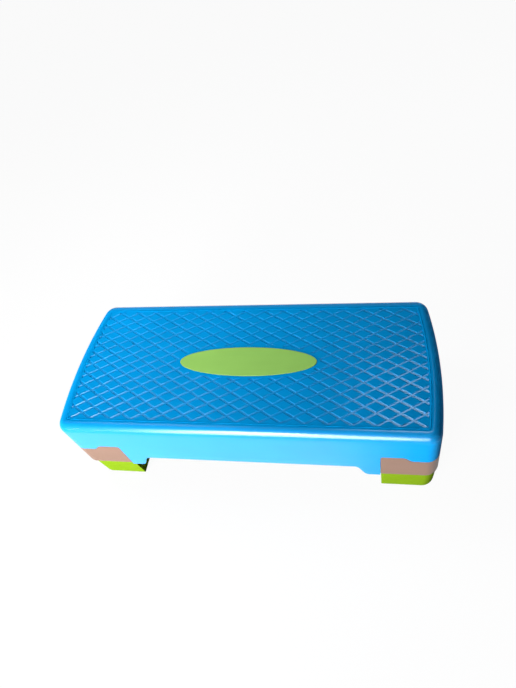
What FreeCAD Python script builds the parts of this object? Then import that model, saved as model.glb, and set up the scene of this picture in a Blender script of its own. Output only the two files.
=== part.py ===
import FreeCAD, Part
import math
import os

# Aerobic step platform. Millimetres, +X along the step, -Y the front, +Z up, origin on the floor at the middle.

# Overall sizes, with the legs out
LENGTH = 680.0
DEPTH = 284.0
HEIGHT = 204.0
END_BULGE = 13.0
CORNER_RADIUS = 26.0

# Deck shell
SKIRT_DRAFT_DEG = 1.5
WALL = 3.0
TOP_PLATE = 4.0
TOP_EDGE_RADIUS = 15.0
RIB_THICKNESS = 2.4
RIB_PITCH = 66.0
RIB_HEIGHT = 27.0

# Steps in height, from the leg pivots and from the tread
FOOT_BELOW_PIVOT = 12.0
TAB_BELOW_PIVOT = 18.0
PAD_BELOW_TAB = 2.0
SKIRT_ABOVE_PIVOT = 13.0
CUTOUT_BELOW_TREAD = 67.0
CUTOUT_STEP = 12.0
SCREWS_BELOW_TREAD = 54.0

# Lengths along the lower edge of the skirt, from the end inwards
FOOT_LENGTH = 108.0
TAB_WIDTH = 19.0
TAB_SWEEP = 25.0
CUTOUT_CORNER = 5.0
CUTOUT_LEVEL = 35.0
CUTOUT_SWEEP = 20.0

# Tread panel and badge
PANEL_MARGIN = 21.5
PANEL_THICKNESS = 3.0
PANEL_GAP = 0.4
PANEL_CORNER_RADIUS = 5.0
FIELD_MARGIN = 4.0
DIAMOND_LENGTH = 37.8
DIAMOND_WIDTH = 22.0
DIAMOND_SHIFT = -7.0
GROOVE_WIDTH = 5.0
GROOVE_FLOOR = 2.6
GROOVE_DEPTH = 1.2
BADGE_LENGTH = 254.0
BADGE_WIDTH = 60.0
BADGE_RISE = 0.8
BADGE_EDGE_RADIUS = 0.6
BADGE_GAP = 0.5
BADGE_BORDER = 5.0

# End feet
FOOT_GAP = 0.4
FOOT_FLOOR = 3.0
FOOT_RIB_HEIGHT = 30.0
FOOT_RIB_PITCH = 54.0
TOWER_DIAMETER = 14.0
TOWER_INSET = 24.0
TOWER_END_INSET = 36.0
TOWER_SPREAD = 200.0
TOWER_END_SPREAD = 108.0

# Flip legs
LEG_END_INSET = 1.5
LEG_INNER_INSET = 1.6
LEG_SIDE_CLEARANCE = 0.6
LEG_RIM_GAP = 0.4
LEG_WALL = 3.0
LEG_FLOOR = 3.5
LEG_CORNER_RADIUS = 24.0
LEG_RIB_DROP = 10.0
LEG_RIB_PITCH = 54.0
STOW_CLEARANCE = 6.0

# Pivots
PIN_DIAMETER = 6.0
PIN_FIT = 0.02
PIN_RUN = 0.08
PIN_SEAT = 6.5
PIN_HEAD_DIAMETER = 10.0
PIN_HEAD_THICKNESS = 2.5
PIVOT_BOSS_DIAMETER = 15.0
PIVOT_BOSS_LENGTH = 8.0
EAR_RADIUS = 8.0
EAR_THICKNESS = 6.0
EAR_NECK = 32.0
EAR_GAP = 0.3

# Pads and screws
LEG_PAD_LENGTH = 62.0
LEG_PAD_WIDTH = 44.0
LEG_PAD_THICKNESS = 3.0
LEG_PAD_PROUD = 1.5
LEG_PAD_RADIUS = 6.0
LEG_PAD_EDGE = 12.0
FOOT_PAD_DIAMETER = 24.0
FOOT_PAD_STEM = 8.0
PLUG_FIT = 0.05
SCREW_DIAMETER = 4.0
SCREW_LENGTH = 20.0
SCREW_HEAD_DIAMETER = 8.0
SCREW_HEAD_THICKNESS = 3.0
SCREW_WEB = 8.0
SCREW_FIT = 0.1
HEAD_FIT = 0.5

# Values worked out from the sizes above
OVERCUT = 1.0
HALF_LENGTH = LENGTH / 2
HALF_DEPTH = DEPTH / 2
END_RADIUS = (HALF_DEPTH ** 2 + END_BULGE ** 2) / (2 * END_BULGE)
DRAFT = math.tan(math.radians(SKIRT_DRAFT_DEG))
RECESS_Z = HEIGHT - PANEL_THICKNESS
PLATE_UNDERSIDE = RECESS_Z - TOP_PLATE
RIB_EDGE = PLATE_UNDERSIDE - RIB_HEIGHT
PIVOT_HEIGHT = (RIB_EDGE - STOW_CLEARANCE) / 2
FOOT_UNDERSIDE = PIVOT_HEIGHT - FOOT_BELOW_PIVOT
TAB_EDGE = PIVOT_HEIGHT - TAB_BELOW_PIVOT
LOW_STANCE = TAB_EDGE - PAD_BELOW_TAB
SKIRT_EDGE = PIVOT_HEIGHT + SKIRT_ABOVE_PIVOT
CUTOUT_HIGH = HEIGHT - CUTOUT_BELOW_TREAD
CUTOUT_LOW = CUTOUT_HIGH - CUTOUT_STEP
SCREW_JOINT = HEIGHT - SCREWS_BELOW_TREAD
FOOT_X = HALF_LENGTH - FOOT_LENGTH
TAB_X = FOOT_X - TAB_WIDTH
PIVOT_X = FOOT_X - TAB_WIDTH / 2
LEG_X = FOOT_X + LEG_INNER_INSET
LEG_RIM = FOOT_UNDERSIDE - LEG_RIM_GAP
LEG_MID_X = (LEG_X + HALF_LENGTH - END_BULGE) / 2
FOOT_TOP = FOOT_UNDERSIDE + FOOT_FLOOR
BOSS_FACE_Y = HALF_DEPTH - WALL - (PIVOT_HEIGHT - TAB_EDGE) * DRAFT - PIVOT_BOSS_LENGTH
EAR_OUTER_Y = BOSS_FACE_Y - EAR_GAP
EAR_INNER_Y = EAR_OUTER_Y - EAR_THICKNESS
LEG_PAD_Y = HALF_DEPTH - WALL - PIVOT_BOSS_LENGTH - LEG_PAD_EDGE - LEG_PAD_WIDTH / 2
FOOT_PAD_X = (LEG_X + LEG_WALL + LEG_MID_X) / 2
FOOT_PAD_Y = 1.5 * LEG_RIB_PITCH
TOWER_SPOTS = [
    (FOOT_X + TOWER_INSET, TOWER_SPREAD / 2),
    (HALF_LENGTH - TOWER_END_INSET, TOWER_END_SPREAD / 2),
]
SIDES = (-1, 1)


def vec(x, y, z):
    """Short name for a point."""
    return FreeCAD.Vector(x, y, z)


def box(x0, x1, y0, y1, z0, z1):
    """Block between two corners."""
    return Part.makeBox(x1 - x0, y1 - y0, z1 - z0, vec(x0, y0, z0))


def rod(radius, x, y, z0, z1):
    """Upright round bar."""
    return Part.makeCylinder(radius, z1 - z0, vec(x, y, z0), vec(0, 0, 1))


def cross_rod(radius, x, z, y0, y1):
    """Round bar across the step, along Y."""
    return Part.makeCylinder(radius, y1 - y0, vec(x, y0, z), vec(0, 1, 0))


def inset_at(z):
    """How far the drafted skirt has drawn in at a height."""
    return (z - TAB_EDGE) * DRAFT


def plan_wire(half_length, half_depth, end_radius, corner_radius, z):
    """Outline with straight long sides, arc ends and rounded corners."""
    end_centre = half_length - end_radius
    corner_y = half_depth - corner_radius
    reach = end_radius - corner_radius
    corner_x = end_centre + math.sqrt(reach ** 2 - corner_y ** 2)
    turn = math.atan2(corner_y, corner_x - end_centre)

    def on_corner(angle):
        return (corner_x + corner_radius * math.cos(angle), corner_y + corner_radius * math.sin(angle))

    start = (corner_x, half_depth)
    middle = on_corner((turn + math.pi / 2) / 2)
    finish = on_corner(turn)
    tip = (half_length, 0.0)

    def at(point, sx, sy):
        return vec(sx * point[0], sy * point[1], z)

    edges = [
        Part.LineSegment(at(start, -1, 1), at(start, 1, 1)),
        Part.Arc(at(start, 1, 1), at(middle, 1, 1), at(finish, 1, 1)),
        Part.Arc(at(finish, 1, 1), at(tip, 1, 1), at(finish, 1, -1)),
        Part.Arc(at(finish, 1, -1), at(middle, 1, -1), at(start, 1, -1)),
        Part.LineSegment(at(start, 1, -1), at(start, -1, -1)),
        Part.Arc(at(start, -1, -1), at(middle, -1, -1), at(finish, -1, -1)),
        Part.Arc(at(finish, -1, -1), at(tip, -1, -1), at(finish, -1, 1)),
        Part.Arc(at(finish, -1, 1), at(middle, -1, 1), at(start, -1, 1)),
    ]
    return Part.Wire([edge.toShape() for edge in edges])


def skirt_wire(extra, z):
    """Outline of the drafted skirt at a height, drawn in by extra."""
    draw = inset_at(z) + extra
    return plan_wire(HALF_LENGTH - draw, HALF_DEPTH - draw, END_RADIUS - draw, CORNER_RADIUS - draw, z)


def skirt_block(extra, z0, z1):
    """Solid inside the skirt's outline between two heights."""
    return Part.makeLoft([skirt_wire(extra, z0), skirt_wire(extra, z1)], True, True)


def round_top(solid, z, radius):
    """Fillet the edges that lie at height z."""
    edges = [e for e in solid.Edges if abs(e.BoundBox.ZMin - z) < 1e-6 and abs(e.BoundBox.ZMax - z) < 1e-6]
    return solid.makeFillet(radius, edges)


def prism_across(outline):
    """Extrude a closed outline in the XZ plane right across the step."""
    face = Part.Face(Part.Wire(outline))
    face.translate(vec(0, -DEPTH, 0))
    return face.extrude(vec(0, 2 * DEPTH, 0))


def line(p, q):
    """Straight edge in the XZ plane."""
    return Part.LineSegment(vec(p[0], 0, p[1]), vec(q[0], 0, q[1])).toShape()


def arc(p, middle, q):
    """Edge round part of a circle in the XZ plane."""
    return Part.Arc(vec(p[0], 0, p[1]), vec(middle[0], 0, middle[1]), vec(q[0], 0, q[1])).toShape()


def sweep(p, q):
    """S-shaped edge in the XZ plane, level at both ends."""
    middle = (p[0] + q[0]) / 2
    curve = Part.BezierCurve()
    curve.setPoles([vec(p[0], 0, p[1]), vec(middle, 0, p[1]), vec(middle, 0, q[1]), vec(q[0], 0, q[1])])
    return curve.toShape()


def ellipse_block(length, width, z0, z1):
    """Upright block with an oval outline."""
    edge = Part.Ellipse(vec(0, 0, z0), length / 2, width / 2).toShape()
    return Part.Face(Part.Wire([edge])).extrude(vec(0, 0, z1 - z0))


def mirrored(shape, normal):
    """Copy of a shape on the other side of the middle."""
    return shape.mirror(vec(0, 0, 0), normal)


def both_depths(shape):
    """A shape at the back and its copy at the front."""
    return [shape, mirrored(shape, vec(0, 1, 0))]


def both_ends(shape):
    """A shape at the right end and its copy at the left end."""
    return [shape, mirrored(shape, vec(1, 0, 0))]


def spaced(pitch, reach):
    """Places a pitch apart, about the middle, within a reach on each side."""
    count = int(reach / pitch)
    return [pitch * step for step in range(-count, count + 1)]


def middle_cut():
    """Space under the raised middle of the long skirts."""
    below = TAB_EDGE - OVERCUT
    top = TAB_X - TAB_SWEEP
    return prism_across([
        line((-TAB_X, below), (TAB_X, below)),
        line((TAB_X, below), (TAB_X, TAB_EDGE)),
        sweep((TAB_X, TAB_EDGE), (top, SKIRT_EDGE)),
        line((top, SKIRT_EDGE), (-top, SKIRT_EDGE)),
        sweep((-top, SKIRT_EDGE), (-TAB_X, TAB_EDGE)),
        line((-TAB_X, TAB_EDGE), (-TAB_X, below)),
    ])


def foot_space(gap):
    """Wavy space at the right end that the end foot fills, drawn in by a gap."""
    inner = FOOT_X + gap
    outer = HALF_LENGTH + OVERCUT
    below = TAB_EDGE - OVERCUT
    high = CUTOUT_HIGH - gap
    low = CUTOUT_LOW - gap
    bend = FOOT_X + CUTOUT_LEVEL
    turn_x = FOOT_X + CUTOUT_CORNER
    turn_z = CUTOUT_HIGH - CUTOUT_CORNER
    reach = (CUTOUT_CORNER - gap) * math.sqrt(0.5)
    return prism_across([
        line((inner, below), (inner, turn_z)),
        arc((inner, turn_z), (turn_x - reach, turn_z + reach), (turn_x, high)),
        line((turn_x, high), (bend, high)),
        sweep((bend, high), (bend + CUTOUT_SWEEP, low)),
        line((bend + CUTOUT_SWEEP, low), (outer, low)),
        line((outer, low), (outer, below)),
        line((outer, below), (inner, below)),
    ])


def deck_ribs(inside):
    """Grid of ribs under the top plate."""
    half = RIB_THICKNESS / 2
    edge = RIB_PITCH / 2
    bars = []
    for y in spaced(RIB_PITCH, HALF_DEPTH - edge):
        bars.append(box(-HALF_LENGTH, HALF_LENGTH, y - half, y + half, RIB_EDGE, PLATE_UNDERSIDE))
    for x in spaced(RIB_PITCH, HALF_LENGTH - edge):
        bars.append(box(x - half, x + half, -HALF_DEPTH, HALF_DEPTH, RIB_EDGE, PLATE_UNDERSIDE))
    return bars[0].multiFuse(bars[1:]).common(inside)


def pivot_boss():
    """Boss on the inner face of the right back tab."""
    return cross_rod(PIVOT_BOSS_DIAMETER / 2, PIVOT_X, PIVOT_HEIGHT,
                     BOSS_FACE_Y, BOSS_FACE_Y + PIVOT_BOSS_LENGTH + WALL / 2)


def pivot_bore():
    """Blind bore in the right back boss."""
    return cross_rod(PIN_DIAMETER / 2 + PIN_FIT, PIVOT_X, PIVOT_HEIGHT,
                     BOSS_FACE_Y - OVERCUT, BOSS_FACE_Y + PIN_SEAT)


def make_deck():
    """Moulded shell with ribs, screw bosses, pivot bosses and the recess for the tread."""
    outer = round_top(skirt_block(0, TAB_EDGE, HEIGHT), HEIGHT, TOP_EDGE_RADIUS)
    inside = round_top(skirt_block(WALL, TAB_EDGE - OVERCUT, PLATE_UNDERSIDE), PLATE_UNDERSIDE,
                       TOP_EDGE_RADIUS - WALL)
    added = [deck_ribs(inside)]
    removed = [panel_block(0, RECESS_Z, HEIGHT + OVERCUT), middle_cut()]
    removed += both_ends(foot_space(0))
    for x, y in TOWER_SPOTS:
        boss = rod(TOWER_DIAMETER / 2, x, y, SCREW_JOINT, PLATE_UNDERSIDE + OVERCUT)
        hole = rod(SCREW_DIAMETER / 2 + SCREW_FIT, x, y, SCREW_JOINT - OVERCUT, SCREW_JOINT + SCREW_LENGTH)
        for boss_copy, hole_copy in zip(both_depths(boss), both_depths(hole)):
            added += both_ends(boss_copy)
            removed += both_ends(hole_copy)
    for boss, bore in zip(both_depths(pivot_boss()), both_depths(pivot_bore())):
        added += both_ends(boss)
        removed += both_ends(bore)
    shell = outer.cut(inside).multiFuse(added)
    return shell.cut(removed).removeSplitter()


def panel_block(gap, z0, z1):
    """Block with the tread panel's outline, drawn in by a gap."""
    draw = PANEL_MARGIN + gap
    corner = max(PANEL_CORNER_RADIUS - gap, OVERCUT)
    wire = plan_wire(HALF_LENGTH - draw, HALF_DEPTH - draw, END_RADIUS - draw, corner, z0)
    return Part.Face(wire).extrude(vec(0, 0, z1 - z0))


def groove_family(slope):
    """Parallel flat-floored grooves that lean one way across the tread."""
    flare = OVERCUT * (GROOVE_WIDTH - GROOVE_FLOOR) / GROOVE_DEPTH / 2
    half_width = GROOVE_WIDTH / 2 + flare
    half_floor = GROOVE_FLOOR / 2
    angle = math.degrees(math.atan2(slope * DIAMOND_WIDTH, DIAMOND_LENGTH))
    section = Part.makePolygon([
        vec(-LENGTH, -half_width, HEIGHT + OVERCUT),
        vec(-LENGTH, half_width, HEIGHT + OVERCUT),
        vec(-LENGTH, half_floor, HEIGHT - GROOVE_DEPTH),
        vec(-LENGTH, -half_floor, HEIGHT - GROOVE_DEPTH),
        vec(-LENGTH, -half_width, HEIGHT + OVERCUT),
    ])
    groove = Part.Face(section).extrude(vec(2 * LENGTH, 0, 0))
    groove.rotate(vec(0, 0, 0), vec(0, 0, 1), angle)
    reach = HALF_LENGTH + HALF_DEPTH * DIAMOND_LENGTH / DIAMOND_WIDTH
    copies = []
    for place in spaced(DIAMOND_LENGTH, reach):
        copy = groove.copy()
        copy.translate(vec(place, DIAMOND_SHIFT, 0))
        copies.append(copy)
    return Part.makeCompound(copies)


def make_tread_panel():
    """Thin panel with raised diamonds round the badge."""
    panel = panel_block(PANEL_GAP, RECESS_Z, HEIGHT)
    hole = ellipse_block(BADGE_LENGTH + 2 * BADGE_GAP, BADGE_WIDTH + 2 * BADGE_GAP, RECESS_Z, HEIGHT)
    border = 2 * (BADGE_GAP + BADGE_BORDER)
    bottom = HEIGHT - GROOVE_DEPTH - OVERCUT
    field = panel_block(PANEL_GAP + FIELD_MARGIN, bottom, HEIGHT + OVERCUT)
    field = field.cut(ellipse_block(BADGE_LENGTH + border, BADGE_WIDTH + border, bottom, HEIGHT + OVERCUT))
    panel = panel.cut(hole)
    for slope in SIDES:
        panel = panel.cut(groove_family(slope).common(field))
    return panel.removeSplitter()


def make_badge():
    """Plain oval plate in the middle of the tread."""
    top = HEIGHT + BADGE_RISE
    return round_top(ellipse_block(BADGE_LENGTH, BADGE_WIDTH, RECESS_Z, top), top, BADGE_EDGE_RADIUS)


def make_end_foot():
    """Right end foot: a wavy rim over a ribbed floor, with screw towers and pad holes."""
    space = foot_space(FOOT_GAP)
    outer = skirt_block(0, FOOT_UNDERSIDE, CUTOUT_HIGH)
    inside = skirt_block(WALL, FOOT_TOP, CUTOUT_HIGH + OVERCUT).common(space)
    rib_top = FOOT_TOP + FOOT_RIB_HEIGHT
    half = RIB_THICKNESS / 2
    inner = FOOT_X + FOOT_GAP
    bars = [box(inner, inner + WALL, -HALF_DEPTH, HALF_DEPTH, FOOT_TOP, rib_top)]
    bars.append(box(LEG_MID_X - half, LEG_MID_X + half, -HALF_DEPTH, HALF_DEPTH, FOOT_TOP, rib_top))
    for y in spaced(FOOT_RIB_PITCH, HALF_DEPTH):
        bars.append(box(FOOT_X, HALF_LENGTH, y - half, y + half, FOOT_TOP, rib_top))
    ribs = bars[0].multiFuse(bars[1:]).common(inside)
    added = [ribs]
    removed = []
    seat = SCREW_JOINT - SCREW_WEB
    for x, y in TOWER_SPOTS:
        added += both_depths(rod(TOWER_DIAMETER / 2, x, y, FOOT_TOP - FOOT_FLOOR / 2, SCREW_JOINT))
        well = rod(SCREW_HEAD_DIAMETER / 2 + HEAD_FIT, x, y, FOOT_UNDERSIDE - OVERCUT, seat)
        removed += both_depths(well)
        removed += both_depths(rod(SCREW_DIAMETER / 2 + SCREW_FIT, x, y, seat - OVERCUT, SCREW_JOINT + OVERCUT))
    removed += both_depths(rod(FOOT_PAD_STEM / 2 + PLUG_FIT, FOOT_PAD_X, FOOT_PAD_Y,
                               FOOT_UNDERSIDE - OVERCUT, FOOT_TOP + OVERCUT))
    tray = outer.common(space).cut(inside)
    return tray.multiFuse(added).cut(removed).removeSplitter()


def leg_wire(extra, z):
    """Outline of a leg at a height; stowed, the same taper follows the inside of the skirt."""
    half_depth = HALF_DEPTH - WALL - inset_at(2 * PIVOT_HEIGHT - z) - LEG_SIDE_CLEARANCE - extra
    end_draw = LEG_END_INSET + (LEG_RIM - z) * DRAFT + extra
    return plan_wire(HALF_LENGTH - end_draw, half_depth, END_RADIUS - end_draw, LEG_CORNER_RADIUS - extra, z)


def leg_block(extra, z0, z1):
    """Solid inside the right leg's outline between two heights."""
    block = Part.makeLoft([leg_wire(extra, z0), leg_wire(extra, z1)], True, True)
    return block.common(box(LEG_X + extra, LENGTH, -DEPTH, DEPTH, z0, z1))


def ear():
    """Hinge ear at the back of the right leg, with a neck down to the leg's inner wall."""
    root = LEG_RIM - EAR_NECK
    outline = [
        (PIVOT_X - EAR_RADIUS, PIVOT_HEIGHT),
        (PIVOT_X + EAR_RADIUS, PIVOT_HEIGHT),
        (PIVOT_X + EAR_RADIUS, LEG_RIM),
        (LEG_X + LEG_WALL, LEG_RIM),
        (LEG_X + LEG_WALL, root),
        (LEG_X, root),
    ]
    points = [vec(x, EAR_INNER_Y, z) for x, z in outline]
    neck = Part.Face(Part.makePolygon(points + points[:1])).extrude(vec(0, EAR_THICKNESS, 0))
    return neck.fuse(cross_rod(EAR_RADIUS, PIVOT_X, PIVOT_HEIGHT, EAR_INNER_Y, EAR_OUTER_Y))


def make_flip_leg():
    """Right leg: an open-topped box with ribs inside, hinge ears and recesses for its pads."""
    floor_top = LEG_PAD_PROUD + LEG_FLOOR
    inside = leg_block(LEG_WALL, floor_top, LEG_RIM + OVERCUT)
    rib_top = LEG_RIM - LEG_RIB_DROP
    half = RIB_THICKNESS / 2
    bars = [box(LEG_MID_X - half, LEG_MID_X + half, -HALF_DEPTH, HALF_DEPTH, floor_top, rib_top)]
    for y in spaced(LEG_RIB_PITCH, HALF_DEPTH):
        bars.append(box(LEG_X, HALF_LENGTH, y - half, y + half, floor_top, rib_top))
    ribs = bars[0].multiFuse(bars[1:]).common(inside)
    shell = leg_block(0, LEG_PAD_PROUD, LEG_RIM).cut(inside)
    solid = shell.multiFuse([ribs] + both_depths(ear()))
    bore = cross_rod(PIN_DIAMETER / 2 + PIN_RUN, PIVOT_X, PIVOT_HEIGHT,
                     EAR_INNER_Y - OVERCUT, EAR_OUTER_Y + OVERCUT)
    removed = both_depths(bore) + both_depths(leg_pad_block(0, LEG_PAD_THICKNESS))
    return solid.cut(removed).removeSplitter()


def leg_pad_block(z0, z1):
    """Rounded block under the back of the right leg."""
    block = box(LEG_MID_X - LEG_PAD_LENGTH / 2, LEG_MID_X + LEG_PAD_LENGTH / 2,
                LEG_PAD_Y - LEG_PAD_WIDTH / 2, LEG_PAD_Y + LEG_PAD_WIDTH / 2, z0, z1)
    upright = [e for e in block.Edges if abs(e.BoundBox.ZLength - (z1 - z0)) < 1e-6]
    return block.makeFillet(LEG_PAD_RADIUS, upright)


def make_foot_pad():
    """Round pad with a stem that plugs into the back of the right end foot."""
    disc = rod(FOOT_PAD_DIAMETER / 2, FOOT_PAD_X, FOOT_PAD_Y, LOW_STANCE, FOOT_UNDERSIDE)
    stem = rod(FOOT_PAD_STEM / 2, FOOT_PAD_X, FOOT_PAD_Y, LOW_STANCE, FOOT_TOP)
    return disc.fuse(stem).removeSplitter()


def make_pivot_pin():
    """Headed pin through the back ear of the right leg into its boss."""
    head_y = EAR_INNER_Y - EAR_GAP
    shank = cross_rod(PIN_DIAMETER / 2, PIVOT_X, PIVOT_HEIGHT, head_y, BOSS_FACE_Y + PIN_SEAT)
    head = cross_rod(PIN_HEAD_DIAMETER / 2, PIVOT_X, PIVOT_HEIGHT, head_y - PIN_HEAD_THICKNESS, head_y)
    return shank.fuse(head).removeSplitter()


def make_foot_screws():
    """Four screws that hold the right end foot."""
    seat = SCREW_JOINT - SCREW_WEB
    screws = []
    for x, y in TOWER_SPOTS:
        shank = rod(SCREW_DIAMETER / 2, x, y, seat, seat + SCREW_LENGTH)
        head = rod(SCREW_HEAD_DIAMETER / 2, x, y, seat - SCREW_HEAD_THICKNESS, seat)
        screws += both_depths(shank.fuse(head).removeSplitter())
    return Part.makeCompound(screws)


def main():
    """Build every piece and write one file for each."""
    pieces = {
        "deck": make_deck(),
        "tread_panel": make_tread_panel(),
        "badge": make_badge(),
    }
    per_end = {
        "end_foot": make_end_foot(),
        "flip_leg": make_flip_leg(),
        "foot_screws": make_foot_screws(),
    }
    per_corner = {
        "pivot_pin": make_pivot_pin(),
        "leg_pad": leg_pad_block(0, LEG_PAD_THICKNESS),
        "foot_pad": make_foot_pad(),
    }
    for name, shape in per_end.items():
        pieces[name + "_right"], pieces[name + "_left"] = both_ends(shape)
    for name, shape in per_corner.items():
        for depth, corner in zip(("back", "front"), both_depths(shape)):
            for end, copy in zip(("right", "left"), both_ends(corner)):
                pieces[name + "_" + end + "_" + depth] = copy
    os.makedirs("parts", exist_ok=True)
    for name, shape in pieces.items():
        shape.exportStep("parts/" + name + ".step")
        print(name, "solids", len(shape.Solids), "valid", shape.isValid(), "volume", round(shape.Volume))


main()
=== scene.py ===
import logging
import math
from dataclasses import dataclass, field
from enum import Enum
from typing import Any, Optional, Sequence, Union

import bmesh
import bpy
import numpy as np
from mathutils import Matrix, Vector
from mathutils.geometry import delaunay_2d_cdt


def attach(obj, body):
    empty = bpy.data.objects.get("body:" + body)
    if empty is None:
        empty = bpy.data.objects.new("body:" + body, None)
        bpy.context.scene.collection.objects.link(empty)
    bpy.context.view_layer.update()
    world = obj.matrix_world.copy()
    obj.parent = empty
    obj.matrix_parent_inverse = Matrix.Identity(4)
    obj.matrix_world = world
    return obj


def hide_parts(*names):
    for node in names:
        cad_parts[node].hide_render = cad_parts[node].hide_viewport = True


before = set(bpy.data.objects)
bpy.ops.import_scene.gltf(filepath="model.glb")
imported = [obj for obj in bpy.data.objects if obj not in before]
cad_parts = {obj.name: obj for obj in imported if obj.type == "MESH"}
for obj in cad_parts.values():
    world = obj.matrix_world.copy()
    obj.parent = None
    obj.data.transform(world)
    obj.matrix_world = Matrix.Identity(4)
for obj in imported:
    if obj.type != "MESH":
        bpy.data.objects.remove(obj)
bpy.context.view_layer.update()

LOG = logging.getLogger("step_platform")
MM = 0.001
BOTH_SIDES = (-1, 1)
NOISE_MIDDLE = 0.5
TRIANGLES_INSIDE = 1
Array = np.ndarray
Colour = tuple[float, float, float]
Point = tuple[float, float, float]
WHITE: Colour = (1.0, 1.0, 1.0)


class Body(Enum):
    """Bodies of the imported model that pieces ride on."""

    PLATFORM = "platform"
    LEFT_LEG = "left_leg"
    RIGHT_LEG = "right_leg"


class End(Enum):
    """The two ends of the step, by the sign of X."""

    LEFT = -1
    RIGHT = 1

    @property
    def word(self) -> str:
        """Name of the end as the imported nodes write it."""
        return self.name.lower()

    @property
    def leg(self) -> Body:
        """Body of the leg at this end."""
        return Body.LEFT_LEG if self is End.LEFT else Body.RIGHT_LEG

    @property
    def mirrored(self) -> bool:
        """Whether a piece that is drawn for the right end changes sides."""
        return self is End.LEFT


class LampUse(Enum):
    """What a lamp does: whether it lights surfaces, and whether it shows in reflections."""

    FILL = (True, False)
    GLINT = (False, True)


class Axis(Enum):
    """Direction that a round piece is turned about or a plate is thick along."""

    Y = "y"
    Z = "z"

    def stack(self, first: Array, second: Array, along: Array) -> Array:
        """Coordinates from X, the place across the axis and the place along it."""
        order = (first, second, along) if self is Axis.Z else (first, along, second)
        return np.stack(order, axis=-1)


class Value:
    """A shader socket that adds Math nodes when it is used in an expression."""

    def __init__(self, tree: "ShaderTree", socket: bpy.types.NodeSocket) -> None:
        """Keep the socket and the tree it belongs to."""
        self.tree = tree
        self.socket = socket

    def _math(self, operation: str, first: Any, second: Any = 0.0) -> "Value":
        """Add one Math node.

        Args:
            operation: Name of the Math operation.
            first: Value or number for the first socket.
            second: Value or number for the second socket.

        Returns:
            The node's result.
        """
        return self.tree.node("ShaderNodeMath", {"operation": operation}, {0: first, 1: second})

    def __add__(self, other: Any) -> "Value":
        """Sum of two values."""
        return self._math("ADD", self, other)

    __radd__ = __add__

    def __sub__(self, other: Any) -> "Value":
        """Difference of two values."""
        return self._math("SUBTRACT", self, other)

    def __rsub__(self, other: Any) -> "Value":
        """A number less this value."""
        return self._math("SUBTRACT", other, self)

    def __mul__(self, other: Any) -> "Value":
        """Product of two values."""
        return self._math("MULTIPLY", self, other)

    __rmul__ = __mul__

    def at_least(self, other: Any) -> "Value":
        """Larger of two values."""
        return self._math("MAXIMUM", self, other)

    def ramp(self, low: float, high: float) -> "Value":
        """Smooth step of this value.

        Args:
            low: Value that gives 0.
            high: Value that gives 1.

        Returns:
            A value from 0 to 1.
        """
        settings = {"interpolation_type": "SMOOTHSTEP"}
        return self.tree.node("ShaderNodeMapRange", settings, {0: self, 1: low, 2: high, 3: 0.0, 4: 1.0})


class ShaderTree:
    """Node tree of one material, written as Python expressions."""

    def __init__(self, name: str) -> None:
        """Make an empty material and its output.

        Args:
            name: Name of the material.
        """
        self.material = bpy.data.materials.new(name)
        self.material.use_nodes = True
        self.tree = self.material.node_tree
        self.tree.nodes.clear()
        self.output = self.tree.nodes.new("ShaderNodeOutputMaterial")

    def node(self, kind: str, settings: Optional[dict[str, Any]] = None,
             inputs: Optional[dict[Union[int, str], Any]] = None, out: Union[int, str] = 0) -> Value:
        """Add any node.

        Args:
            kind: Node type.
            settings: Properties, set before the sockets.
            inputs: Values or numbers for the sockets, by name or place.
            out: Output socket to return, by name or place.

        Returns:
            The chosen output.
        """
        made = self.tree.nodes.new(kind)
        for key, setting in (settings or {}).items():
            setattr(made, key, setting)
        for key, given in (inputs or {}).items():
            if isinstance(given, Value):
                self.tree.links.new(given.socket, made.inputs[key])
            else:
                made.inputs[key].default_value = given
        return Value(self, made.outputs[out])

    def place(self) -> Value:
        """Object coordinates, in metres."""
        return self.node("ShaderNodeTexCoord", out="Object")

    def noise(self, size: float, detail: float = 2.0, roughness: float = 0.5,
              stretch: tuple[float, float, float] = (1.0, 1.0, 1.0)) -> Value:
        """Noise in object space.

        Args:
            size: Size of a feature, in metres.
            detail: Octaves of finer noise.
            roughness: Weight of the finer octaves.
            stretch: Scale along each axis.

        Returns:
            A value about 0.5.
        """
        mapped = self.node("ShaderNodeMapping", {}, {"Vector": self.place(), "Scale": stretch})
        sockets = {"Vector": mapped, "Scale": 1.0 / size, "Detail": detail, "Roughness": roughness}
        return self.node("ShaderNodeTexNoise", {"noise_dimensions": "3D"}, sockets)

    def attribute(self, name: str) -> Value:
        """Value stored on the mesh's points, or 0 where there is none."""
        return self.node("ShaderNodeAttribute", {"attribute_name": name}, out="Fac")

    def blend(self, factor: Any, first: Any, second: Any) -> Value:
        """Mix of two colours.

        Args:
            factor: Share of the second colour.
            first: Colour or value at 0.
            second: Colour or value at 1.

        Returns:
            The mixed colour.
        """
        return self.node("ShaderNodeMix", {"data_type": "RGBA"}, {0: factor, 6: first, 7: second}, out=2)

    def bump(self, height: Value, distance: float) -> Value:
        """Normal from a height.

        Args:
            height: Height from 0 to 1.
            distance: Depth in metres of a height of 1.

        Returns:
            The bent normal.
        """
        return self.node("ShaderNodeBump", {}, {"Strength": 1.0, "Distance": distance, "Height": height})

    def finish(self, surface: Value) -> bpy.types.Material:
        """Link a shader to the output and give back the material."""
        self.tree.links.new(surface.socket, self.output.inputs["Surface"])
        return self.material


def rgba(colour: Colour, share: float = 1.0) -> tuple[float, float, float, float]:
    """Colour with its alpha.

    Args:
        colour: Linear red, green and blue.
        share: Factor on all three.

    Returns:
        Four numbers for a colour socket.
    """
    red, green, blue = (min(part * share, 1.0) for part in colour)
    return red, green, blue, 1.0


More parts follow.
